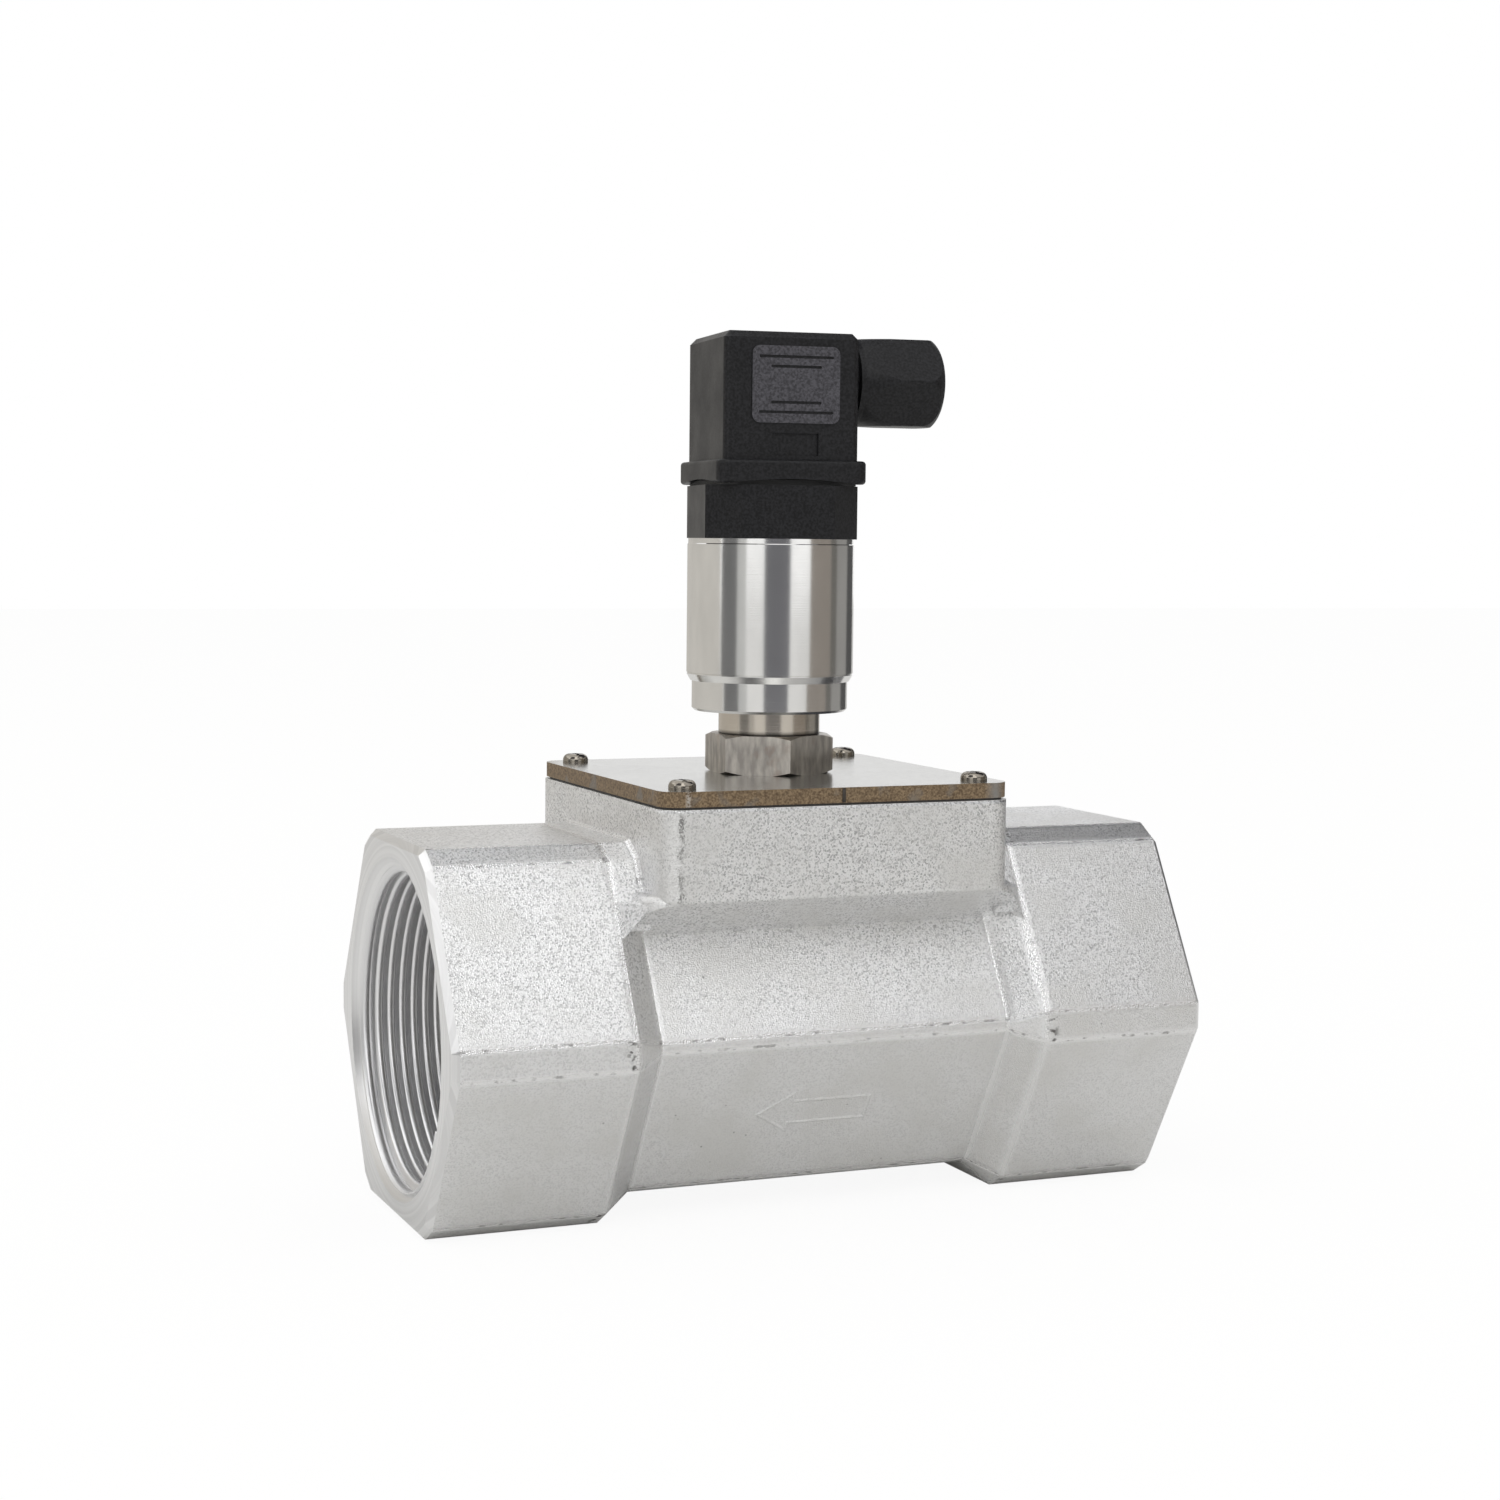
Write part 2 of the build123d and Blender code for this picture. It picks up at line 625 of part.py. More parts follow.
# Plug housing
column_radius = plug_screw_head_radius + loose_gap + column_wall
with BuildPart() as plug_housing:
    with BuildSketch(head_plane(flange_bottom_z)):
        RectangleRounded(flange_size, flange_size, flange_corner)
    extrude(amount=flange_height)
    fillet(plug_housing.edges().filter_by(Plane.XY), radius=flange_edge_round)
    with BuildSketch(head_plane(flange_top_z)):
        RectangleRounded(plug_size, plug_size, plug_corner)
    extrude(amount=plug_height)
    chamfer(plug_housing.faces().sort_by(Axis.Z)[-1].edges(), length=plug_bevel)

    # Neck of the gland
    with BuildSketch(gland_section(plug_size / 2 - plug_wall)):
        Circle(gland_neck_radius)
    extrude(amount=gland_neck_end - plug_size / 2 + plug_wall)

    # Raised panel with four grooves, and the small recess below it
    with BuildSketch(front_plane(flange_top_z)):
        with Locations((panel_offset, panel_above_flange)):
            RectangleRounded(panel_width, panel_height, panel_corner)
    extrude(amount=panel_rise)
    with BuildSketch(front_plane(flange_top_z).offset(panel_rise)):
        for direction in (-1, 1):
            with Locations((panel_offset, panel_above_flange + direction * long_groove_rise)):
                SlotOverall(long_groove, panel_groove_width)
            with Locations((panel_offset, panel_above_flange + direction * short_groove_rise)):
                SlotOverall(short_groove, panel_groove_width)
    extrude(amount=-panel_groove_depth, mode=Mode.SUBTRACT)
    with BuildSketch(front_plane(flange_top_z)):
        with Locations((panel_offset, window_above_flange)):
            Rectangle(window_width, window_height)
    extrude(amount=-window_depth, mode=Mode.SUBTRACT)

    # Cavity for the terminal block, with the screw's column left standing
    with BuildSketch(head_plane(flange_bottom_z)):
        RectangleRounded(cavity_size, cavity_size, plug_corner)
    extrude(amount=cavity_top_z - flange_bottom_z, mode=Mode.SUBTRACT)
    with BuildSketch(head_plane(flange_bottom_z)):
        recess_size = plug_gasket_size + 2 * slip_gap
        RectangleRounded(recess_size, recess_size, flange_corner)
    extrude(amount=gasket_top_z - flange_bottom_z, mode=Mode.SUBTRACT)
    with BuildSketch(head_plane(block_top_z + loose_gap)):
        Circle(column_radius)
    extrude(amount=cavity_top_z - block_top_z - loose_gap)
    with BuildSketch(head_plane(plug_top_z)):
        Circle(plug_screw_head_radius + loose_gap)
    extrude(amount=-plug_screw_sink, mode=Mode.SUBTRACT)
    with BuildSketch(head_plane(plug_top_z)):
        Circle(plug_screw_radius + slip_gap)
    extrude(amount=block_top_z - plug_top_z, mode=Mode.SUBTRACT)

    # Cable way through the neck
    with BuildSketch(gland_section(grommet_start)):
        Circle(gland_bore_radius)
    extrude(amount=gland_neck_end - grommet_start, mode=Mode.SUBTRACT)
    with BuildSketch(gland_section(grommet_start)):
        Circle(gland_mouth_radius)
    extrude(amount=column_radius + fit_gap - grommet_start, mode=Mode.SUBTRACT)

    # Shallow arches under the flange's four sides
    arch_radius = (flange_arch_width**2 / 4 + flange_arch_rise**2) / (2 * flange_arch_rise)
    for arch_plane in (
        Plane(origin=(0, 0, flange_bottom_z), x_dir=head_x, z_dir=-head_y),
        Plane(origin=(0, 0, flange_bottom_z), x_dir=head_y, z_dir=head_x),
    ):
        with BuildSketch(arch_plane):
            with Locations((0, flange_arch_rise - arch_radius)):
                Circle(arch_radius)
        extrude(amount=flange_size, both=True, mode=Mode.SUBTRACT)
save(plug_housing, "plug_housing")

# Terminal block with the pockets of the contacts
with BuildPart() as terminal_block:
    with BuildSketch(head_plane(gasket_top_z)):
        RectangleRounded(block_size, block_size, plug_corner)
        Circle(plug_screw_radius + slip_gap, mode=Mode.SUBTRACT)
    extrude(amount=block_height)
    with BuildSketch(head_plane(gasket_top_z)):
        with PolarLocations(pin_circle, 4):
            Rectangle(contact_depth + 2 * slip_gap, contact_width + 2 * slip_gap)
    extrude(amount=block_height, mode=Mode.SUBTRACT)
    with BuildSketch(head_plane(block_top_z)):
        with GridLocations(2 * terminal_reach, 2 * terminal_reach, 2, 2):
            Circle(terminal_shank_radius + slip_gap)
    extrude(amount=-terminal_shank_length - loose_gap, mode=Mode.SUBTRACT)
save(terminal_block, "terminal_block")

# Socket contacts: a sleeve round each pin, with a tab that reaches its terminal screw
with BuildPart() as socket_contacts:
    with BuildSketch(head_plane(gasket_top_z + contact_start)):
        with PolarLocations(pin_circle, 4):
            Rectangle(contact_depth, contact_width)
            Rectangle(pin_thickness + 2 * slip_gap, pin_width + 2 * slip_gap, mode=Mode.SUBTRACT)
    extrude(amount=block_height - contact_start)
    with BuildSketch(head_plane(block_top_z)):
        with PolarLocations(0, 4):
            with Locations((terminal_reach, terminal_reach / 2)):
                Rectangle(2 * terminal_head_radius, terminal_reach + 2 * terminal_head_radius)
        with PolarLocations(0, 4):
            with Locations((terminal_reach, terminal_reach)):
                Circle(terminal_shank_radius + slip_gap, mode=Mode.SUBTRACT)
    extrude(amount=tab_thickness)
save(socket_contacts, "socket_contacts")

# Terminal screws
with BuildPart() as terminal_screws:
    with BuildSketch(head_plane(block_top_z + tab_thickness)):
        with GridLocations(2 * terminal_reach, 2 * terminal_reach, 2, 2):
            Circle(terminal_head_radius)
    extrude(amount=terminal_head_height)
    with BuildSketch(head_plane(block_top_z + tab_thickness)):
        with GridLocations(2 * terminal_reach, 2 * terminal_reach, 2, 2):
            Circle(terminal_shank_radius)
    extrude(amount=-terminal_shank_length)
    with BuildSketch(head_plane(block_top_z + tab_thickness + terminal_head_height)):
        with GridLocations(2 * terminal_reach, 2 * terminal_reach, 2, 2):
            Rectangle(2 * terminal_head_radius, recess_width)
    extrude(amount=-terminal_head_height / 2, mode=Mode.SUBTRACT)
save(terminal_screws, "terminal_screws")

# Plug screw and its sealing washer
screw_seat_z = plug_top_z - plug_screw_sink
screw_under_head_z = screw_seat_z + plug_screw_seal_thickness
with BuildPart() as plug_screw:
    with BuildSketch(head_plane(screw_under_head_z)):
        Circle(plug_screw_head_radius)
    extrude(amount=plug_screw_head_height)
    with BuildSketch(head_plane(screw_under_head_z)):
        Circle(plug_screw_radius)
    extrude(amount=deck_z - deck_thickness - screw_under_head_z)
    with BuildSketch(head_plane(screw_under_head_z + plug_screw_head_height)):
        Rectangle(recess_span * plug_screw_head_radius, recess_width)
        Rectangle(recess_width, recess_span * plug_screw_head_radius)
    extrude(amount=-recess_depth, mode=Mode.SUBTRACT)
save(plug_screw, "plug_screw")

with BuildPart() as plug_screw_seal:
    with BuildSketch(head_plane(screw_seat_z)):
        Circle(plug_screw_head_radius)
        Circle(plug_screw_radius + slip_gap, mode=Mode.SUBTRACT)
    extrude(amount=plug_screw_seal_thickness)
save(plug_screw_seal, "plug_screw_seal")

# Gland: grommet in the neck, thrust ring and nut
grommet_end = gland_neck_end + 2 * loose_gap
ring_end = grommet_end + ring_thickness
with BuildPart() as gland_grommet:
    with BuildSketch(gland_section(grommet_start)):
        Circle(gland_bore_radius - slip_gap)
        Circle(cable_radius, mode=Mode.SUBTRACT)
    extrude(amount=grommet_end - grommet_start)
save(gland_grommet, "gland_grommet")

with BuildPart() as gland_ring:
    with BuildSketch(gland_section(grommet_end)):
        Circle(gland_neck_radius)
        Circle(ring_bore_radius, mode=Mode.SUBTRACT)
    extrude(amount=ring_thickness)
save(gland_ring, "gland_ring")

with BuildPart() as gland_nut:
    with BuildSketch(gland_profile_plane):
        flat_radius = gland_nut_flats / 2
        cone_start = nut_start + gland_nut_root_length
        cone_end = cone_start + gland_nut_cone_length
        round_start = nut_end - gland_nut_end_round
        round_radius = gland_nut_corner_radius - gland_nut_end_round
        nut_bore_radius = gland_neck_radius + slip_gap
        with BuildLine():
            Polyline(
                (nut_start, nut_bore_radius),
                (nut_start, flat_radius),
                (cone_start, flat_radius),
                (cone_end, gland_nut_corner_radius),
                (round_start, gland_nut_corner_radius),
            )
            CenterArc((round_start, round_radius), gland_nut_end_round, 0, 90)
            Polyline(
                (nut_end, round_radius),
                (nut_end, gland_mouth_radius + gland_mouth_bevel),
                (nut_end - gland_mouth_bevel, gland_mouth_radius),
                (ring_end, gland_mouth_radius),
                (ring_end, nut_bore_radius),
                (nut_start, nut_bore_radius),
            )
        make_face()
    revolve(axis=gland_axis)
    with BuildSketch(gland_section(nut_start)) as nut_outline:
        RegularPolygon(flat_radius, 6, major_radius=False)
        fillet(nut_outline.vertices(), gland_nut_edge_round)
    extrude(amount=nut_end - nut_start, mode=Mode.INTERSECT)
save(gland_nut, "gland_nut")

# Rotor bracket: one bent sheet with two cheeks that carry the axle
with BuildPart() as rotor_bracket:
    with BuildSketch(Plane.YZ.offset(-bracket_half_x)) as sheet_outline:
        foot_z = rotor_axis_z - cheek_foot_radius
        with Locations((0, foot_z)):
            Rectangle(2 * cheek_outer_y, plate_bottom_z - foot_z, align=(Align.CENTER, Align.MIN))
        fillet(sheet_outline.vertices().group_by(Axis.Y)[-1], bend_radius + sheet_thickness)
    extrude(amount=2 * bracket_half_x)
    with BuildSketch(Plane.YZ.offset(-bracket_half_x)) as sheet_inside:
        with Locations((0, foot_z)):
            Rectangle(
                2 * cheek_inner_y,
                plate_bottom_z - sheet_thickness - foot_z,
                align=(Align.CENTER, Align.MIN),
            )
        fillet(sheet_inside.vertices().group_by(Axis.Y)[-1], bend_radius)
    extrude(amount=2 * bracket_half_x, mode=Mode.SUBTRACT)
    with BuildSketch(Plane.XZ):
        shoulder_z = plate_bottom_z - cheek_shoulder_drop
        with BuildLine():
            foot_arc = CenterArc((0, rotor_axis_z), cheek_foot_radius, 180, 180)
            Polyline(
                foot_arc @ 1,
                (bracket_half_x, shoulder_z),
                (bracket_half_x, plate_bottom_z),
                (-bracket_half_x, plate_bottom_z),
                (-bracket_half_x, shoulder_z),
                foot_arc @ 0,
            )
        make_face()
    extrude(amount=cheek_outer_y, both=True, mode=Mode.INTERSECT)
    with BuildSketch(Plane.XY.offset(plate_bottom_z)):
        Circle(shoulder_radius + loose_gap)
        with GridLocations(2 * bracket_screw_x, 0, 2, 1):
            Circle(screw_radius + slip_gap)
    extrude(amount=-sheet_thickness, mode=Mode.SUBTRACT)
    with BuildSketch(Plane.XZ):
        with Locations((0, rotor_axis_z)):
            Circle(axle_radius + fit_gap)
    extrude(amount=cheek_outer_y, both=True, mode=Mode.SUBTRACT)
save(rotor_bracket, "rotor_bracket")

# Bracket screws, driven from below into the cover plate
with BuildPart() as bracket_screws:
    web_bottom_z = plate_bottom_z - sheet_thickness
    with BuildSketch(Plane.XY.offset(web_bottom_z)):
        with GridLocations(2 * bracket_screw_x, 0, 2, 1):
            Circle(bracket_screw_head_radius)
    extrude(amount=-bracket_screw_head_height)
    with BuildSketch(Plane.XY.offset(web_bottom_z)):
        with GridLocations(2 * bracket_screw_x, 0, 2, 1):
            Circle(screw_radius - slip_gap)
    extrude(amount=sheet_thickness + bracket_screw_bite)
    with BuildSketch(Plane.XY.offset(web_bottom_z - bracket_screw_head_height)):
        with GridLocations(2 * bracket_screw_x, 0, 2, 1):
            Rectangle(recess_span * bracket_screw_head_radius, recess_width)
            Rectangle(recess_width, recess_span * bracket_screw_head_radius)
    extrude(amount=recess_depth, mode=Mode.SUBTRACT)
save(bracket_screws, "bracket_screws")

# Axle with a groove for the clip near each end
clip_start_y = cheek_outer_y + clip_gap
clip_end_y = clip_start_y + clip_thickness
axle_half = clip_end_y + axle_overhang
groove_radius = axle_radius - clip_groove_depth
with BuildPart() as rotor_axle:
    with BuildSketch(axle_profile_plane):
        with BuildLine():
            Polyline(
                (0, 0),
                (0, axle_radius),
                (clip_start_y - fit_gap, axle_radius),
                (clip_start_y - fit_gap, groove_radius),
                (clip_end_y + fit_gap, groove_radius),
                (clip_end_y + fit_gap, axle_radius),
                (axle_half - axle_bevel, axle_radius),
                (axle_half, axle_radius - axle_bevel),
                (axle_half, 0),
                close=True,
            )
        make_face()
        mirror(about=Plane.YZ)
    revolve(axis=rotor_axis)
save(rotor_axle, "rotor_axle")

with BuildPart() as axle_clips:
    for side in (-1, 1):
        with BuildSketch(axle_section(side * clip_start_y, side)):
            Circle(clip_radius)
            Circle(groove_radius + fit_gap, mode=Mode.SUBTRACT)
            with Locations((0, clip_radius / 2)):
                Rectangle(clip_mouth_width, clip_radius, mode=Mode.SUBTRACT)
        extrude(amount=clip_thickness)
save(axle_clips, "axle_clips")

with BuildPart() as thrust_washers:
    washer_start_y = cheek_inner_y - washer_thickness - slip_gap
    for side in (-1, 1):
        with BuildSketch(axle_section(side * washer_start_y, side)):
            Circle(washer_radius)
            Circle(axle_radius + fit_gap, mode=Mode.SUBTRACT)
        extrude(amount=washer_thickness)
save(thrust_washers, "thrust_washers")

# Paddle wheel: hub and straight blades, each with a round rim that holds its magnet
bush_radius = axle_radius + fit_gap + bush_wall
rim_radius = magnet_radius + magnet_wall
rim_circle = wheel_radius - rim_radius
wheel_plane = axle_section(-blade_half_width)
hub_plane = axle_section(-hub_half_length)
with BuildPart() as paddle_wheel:
    with BuildSketch(hub_plane):
        Circle(hub_radius)
    extrude(amount=2 * hub_half_length)
    with BuildSketch(wheel_plane):
        with PolarLocations(rim_circle / 2, blade_count):
            Rectangle(rim_circle, blade_thickness)
        with PolarLocations(rim_circle, blade_count):
            Circle(rim_radius)
    extrude(amount=2 * blade_half_width)
    with BuildSketch(hub_plane):
        Circle(axle_radius + loose_gap)
    extrude(amount=2 * hub_half_length, mode=Mode.SUBTRACT)
    for side in (-1, 1):
        with BuildSketch(axle_section(side * hub_half_length, side)):
            Circle(bush_radius + fit_gap)
        extrude(amount=-bush_length, mode=Mode.SUBTRACT)
    with BuildSketch(wheel_plane):
        with PolarLocations(rim_circle, blade_count):
            Circle(magnet_radius + fit_gap)
    extrude(amount=2 * magnet_half_length, mode=Mode.SUBTRACT)
save(paddle_wheel, "paddle_wheel")

with BuildPart() as hub_bushes:
    for side in (-1, 1):
        with BuildSketch(axle_section(side * hub_half_length, side)):
            Circle(bush_radius)
            Circle(axle_radius + fit_gap, mode=Mode.SUBTRACT)
        extrude(amount=-bush_length)
save(hub_bushes, "hub_bushes")

with BuildPart() as wheel_magnets:
    with BuildSketch(wheel_plane):
        with PolarLocations(rim_circle, blade_count):
            Circle(magnet_radius)
    extrude(amount=2 * magnet_half_length)
save(wheel_magnets, "wheel_magnets")

# Electronics: sensing element at the probe's tip, its leads, and the board in the can
hall_bottom_z = stem_tip_z + stem_tip_thickness
with BuildPart() as hall_sensor:
    with BuildSketch(Plane.XY.offset(hall_bottom_z)):
        Rectangle(hall_thickness, hall_width)
    extrude(amount=hall_height)
save(hall_sensor, "hall_sensor")

with BuildPart() as sensor_leads:
    with BuildSketch(Plane.XY.offset(hall_bottom_z + hall_height)):
        with GridLocations(0, lead_pitch, 1, 3):
            Circle(lead_radius)
    extrude(amount=cup_floor_z - hall_bottom_z - hall_height)
save(sensor_leads, "sensor_leads")

with BuildPart() as sensor_board:
    with BuildSketch(Plane.XY.offset(cup_floor_z)):
        Rectangle(board_thickness, board_width)
    extrude(amount=board_height)
save(sensor_board, "sensor_board")

with BuildPart() as board_components:
    for foot, width, depth, height, side in component_sizes:
        component_x = side * (board_thickness + depth) / 2
        with BuildSketch(Plane.XY.offset(cup_floor_z + foot)):
            with Locations((component_x, 0)):
                Rectangle(depth, width)
        extrude(amount=height)
save(board_components, "board_components")

# Output leads: from the board's top edge to three of the pins
with BuildPart() as output_leads:
    pin_foot_z = deck_z - deck_thickness - pin_tail
    for board_y, pin_point in (
        (-board_width / 3, head_y * -pin_circle),
        (0, head_x * pin_circle),
        (board_width / 3, head_y * pin_circle),
    ):
        with BuildLine() as lead_route:
            FilletPolyline(
                (0, board_y, board_top_z),
                (0, board_y, board_top_z + output_lead_rise),
                (pin_point.X, pin_point.Y, pin_foot_z - output_lead_rise),
                (pin_point.X, pin_point.Y, pin_foot_z),
                radius=output_lead_bend,
            )
        with BuildSketch(Plane(origin=lead_route.line @ 0, z_dir=lead_route.line % 0)):
            Circle(output_lead_radius)
        sweep(path=lead_route.line)
save(output_leads, "output_leads")
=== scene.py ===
# %% [markdown]
# # A paddle wheel flow sensor, dressed for its portrait
#
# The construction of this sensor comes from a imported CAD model: every casting, screw and seal is already
# there at its real size. This lesson adds what a CAD model lacks, which is mostly surface: sand cast
# aluminium, turned steel, moulded plastic, a pipe thread and a cast flow arrow. Every length below is in
# metres, because that is the unit of the frame. `MM` turns the millimetres of a drawing into it.

# %% Load the frame
import json
from itertools import product
from math import atan2, cos, hypot, pi, radians, sin, sqrt

import bmesh
import bpy
from mathutils import Matrix, Vector

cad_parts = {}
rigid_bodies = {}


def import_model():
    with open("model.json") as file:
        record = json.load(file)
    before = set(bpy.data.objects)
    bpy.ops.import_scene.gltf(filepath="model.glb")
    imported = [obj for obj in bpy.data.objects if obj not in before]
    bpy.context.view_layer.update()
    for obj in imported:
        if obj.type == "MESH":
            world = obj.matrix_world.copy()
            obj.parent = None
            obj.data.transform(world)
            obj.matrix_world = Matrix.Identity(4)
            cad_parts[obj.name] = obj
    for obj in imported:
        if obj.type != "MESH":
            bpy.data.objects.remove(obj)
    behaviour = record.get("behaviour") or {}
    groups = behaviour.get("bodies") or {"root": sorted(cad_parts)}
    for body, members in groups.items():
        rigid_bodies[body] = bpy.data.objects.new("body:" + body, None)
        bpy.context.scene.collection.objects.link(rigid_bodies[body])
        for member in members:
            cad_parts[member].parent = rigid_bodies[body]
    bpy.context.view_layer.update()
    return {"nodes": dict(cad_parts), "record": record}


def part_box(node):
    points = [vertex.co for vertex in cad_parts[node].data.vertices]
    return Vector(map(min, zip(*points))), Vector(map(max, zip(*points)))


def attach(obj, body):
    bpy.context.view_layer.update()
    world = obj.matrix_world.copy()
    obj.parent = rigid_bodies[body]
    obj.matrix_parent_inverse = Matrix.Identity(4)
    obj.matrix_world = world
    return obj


MM = 0.001
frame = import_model()
nodes = frame["nodes"]


# %% [markdown]
# ## Sizes that come from the frame
#
# A pattern that has to line up with the metal takes its place from the node's own box. So the pipe's axis
# is half the width of the hexagonal ends above the floor, and the boss, the can and the plug are measured
# as well. If the model changes, these numbers follow.

# %% Measure the frame
body_low, body_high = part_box("flow_body")
plate_low, plate_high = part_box("cover_plate")
nut_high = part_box("lock_nut")[1]
sleeve_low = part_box("transmitter_sleeve")[0]
plug_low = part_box("plug_housing")[0]

END_FLATS = 70 * MM
END_CORNERS = 77.7 * MM
MIDDLE_FLATS = 60 * MM
MIDDLE_CORNERS = 68.2 * MM
PIPE_Z = body_low.z + END_FLATS / 2
BODY_HALF = body_high.x
END_START = BODY_HALF - 33.5 * MM
MIDDLE_HALF = END_START - 6.1 * MM
BOSS_HALF = 34.7 * MM
HEAD_TURN = radians(-6.5)

print("Half length of the body:", round(BODY_HALF / MM, 1), "mm, pipe axis at", round(PIPE_Z / MM, 1), "mm")

# %% [markdown]
# ## A small kit for finishes
#
# A finish is a node tree round one Principled shader. Most of them need the same few parts: the point on
# the object, a noise, a curve that turns the noise into a range, and a bump. Writing these once keeps each
# finish down to the lines that make it special. Numbers that are the same all over a surface are typed
# straight into the shader, because an exporter reads them there.

# %% Node helpers
def add_node(tree, kind, **settings):
    node = tree.nodes.new(kind)
    for name, value in settings.items():
        setattr(node, name, value)
    return node


def start_finish(name, colour, roughness, metallic=0.0):
    material = bpy.data.materials.new(name)
    material.use_nodes = True
    tree = material.node_tree
    shader = tree.nodes["Principled BSDF"]
    shader.inputs["Base Color"].default_value = (*colour, 1)
    shader.inputs["Roughness"].default_value = roughness
    shader.inputs["Metallic"].default_value = metallic
    point = add_node(tree, "ShaderNodeTexCoord").outputs["Object"]
    return material, tree, shader, point


def stretch(tree, point, scale):
    # The same point with each axis scaled, for grain that runs one way
    node = add_node(tree, "ShaderNodeVectorMath", operation="MULTIPLY")
    tree.links.new(point, node.inputs[0])
    node.inputs[1].default_value = scale
    return node.outputs[0]


def noise(tree, point, grain, detail=2.0):
    # Noise whose features are about as wide as the grain, in metres
    node = add_node(tree, "ShaderNodeTexNoise")
    tree.links.new(point, node.inputs["Vector"])
    node.inputs["Scale"].default_value = 1 / grain
    node.inputs["Detail"].default_value = detail
    return node.outputs["Fac"]


def cells(tree, point, size):
    # Many small cells: the distance to the middle of the nearest, and a random shade for each
    node = add_node(tree, "ShaderNodeTexVoronoi")
    tree.links.new(point, node.inputs["Vector"])
    node.inputs["Scale"].default_value = 1 / size
    return node.outputs["Distance"], node.outputs["Color"]


def split(tree, point):
    node = add_node(tree, "ShaderNodeSeparateXYZ")
    tree.links.new(point, node.inputs[0])
    return node.outputs["X"], node.outputs["Y"], node.outputs["Z"]


def blend_range(tree, value, from_low, from_high, to_low, to_high):
    node = add_node(tree, "ShaderNodeMapRange", clamp=True)
    tree.links.new(value, node.inputs["Value"])
    ends = {"From Min": from_low, "From Max": from_high, "To Min": to_low, "To Max": to_high}
    for name, number in ends.items():
        node.inputs[name].default_value = number
    return node.outputs["Result"]


def mix_colours(tree, share, first, second):
    # Each colour is three numbers or the output of another node
    node = add_node(tree, "ShaderNodeMix", data_type="RGBA")
    tree.links.new(share, node.inputs["Factor"])
    for socket, colour in ((node.inputs[6], first), (node.inputs[7], second)):
        if isinstance(colour, tuple):
            socket.default_value = (*colour, 1)
        else:
            tree.links.new(colour, socket)
    return node.outputs[2]


def calculate(tree, operation, *values):
    node = add_node(tree, "ShaderNodeMath", operation=operation)
    for socket, value in zip(node.inputs, values):
        if isinstance(value, (int, float)):
            socket.default_value = value
        else:
            tree.links.new(value, socket)
    return node.outputs[0]


def add_bump(tree, shader, height, depth, strength=1.0, under=None):
    # Raises the surface by the height times the depth, in metres
    node = add_node(tree, "ShaderNodeBump")
    tree.links.new(height, node.inputs["Height"])
    node.inputs["Distance"].default_value = depth
    node.inputs["Strength"].default_value = strength
    if under is not None:
        tree.links.new(under, node.inputs["Normal"])
    tree.links.new(node.outputs["Normal"], shader.inputs["Normal"])
    return node.outputs["Normal"]


print("Node helpers are ready")

# %% [markdown]
# ## Finding the edges of the hexagon
#
# A casting is tumbled after it is cut off its runner, and that marks its long edges first. A finish has to
# know where they are, for that wear and for the highlights and shade lines that are painted along them.
# Round the pipe's axis the hexagon repeats every sixth of a turn, so the angle of a point is wrapped into
# one sixth, and its distance sideways from the corner says how far it is from the corner's two edges. The
# corners are wider at the ends than in the middle, so the width follows the taper between them.

# %% Edges of the blunted corners
def from_pipe_axis(tree, point):
    # The arm from the pipe's axis to the point, and its length
    shift = add_node(tree, "ShaderNodeVectorMath", operation="SUBTRACT")
    tree.links.new(point, shift.inputs[0])
    shift.inputs[1].default_value = (0, 0, PIPE_Z)
    arm = stretch(tree, shift.outputs[0], (0, 1, 1))
    length = add_node(tree, "ShaderNodeVectorMath", operation="LENGTH")
    tree.links.new(arm, length.inputs[0])
    return arm, length.outputs["Value"]


def corner_half(flats, corners):
    # Half the width of the flat that blunts a corner of a hexagon
    return flats - corners * sqrt(3) / 2


def round_the_corner(tree, point):
    # Along the pipe, sideways from the nearest corner, half that corner's width, and 1 out at the corner
    arm, length = from_pipe_axis(tree, point)
    along = calculate(tree, "ABSOLUTE", split(tree, point)[0])
    side, up = split(tree, arm)[1:]
    angle = calculate(tree, "WRAP", calculate(tree, "ARCTAN2", up, side), pi / 6, -pi / 6)
    aside = calculate(tree, "ABSOLUTE", calculate(tree, "MULTIPLY", length, calculate(tree, "SINE", angle)))
    half = blend_range(tree, along, MIDDLE_HALF, END_START, corner_half(MIDDLE_FLATS, MIDDLE_CORNERS),
                       corner_half(END_FLATS, END_CORNERS))
    outline = blend_range(tree, along, MIDDLE_HALF, END_START, MIDDLE_CORNERS / 2, END_CORNERS / 2)
    inside = calculate(tree, "ABSOLUTE", calculate(tree, "SUBTRACT", length, outline))
    return along, aside, half, blend_range(tree, inside, 0.5 * MM, 0.9 * MM, 1, 0)


def near(tree, value, place, reach):
    # 1 where the value is at the place, falling to 0 within the reach
    away = calculate(tree, "ABSOLUTE", calculate(tree, "SUBTRACT", value, place))
    return blend_range(tree, away, 0.1 * MM, reach, 1, 0)


def on_corner_edges(tree, point, reach):
    along, aside, half, outside = round_the_corner(tree, point)
    return calculate(tree, "MULTIPLY", near(tree, aside, half, reach), outside)


def on_shoulder_edges(tree, point, reach):
    # The two bends of each shoulder between the middle and an end, but not the boss above them
    along = calculate(tree, "ABSOLUTE", split(tree, point)[0])
    length = from_pipe_axis(tree, point)[1]
    inner = calculate(tree, "MULTIPLY", near(tree, along, MIDDLE_HALF + 0.3 * MM, reach),
                      blend_range(tree, length, MIDDLE_CORNERS / 2, MIDDLE_CORNERS / 2 + 0.6 * MM, 1, 0))
    return calculate(tree, "MAXIMUM", inner, near(tree, along, END_START, reach))


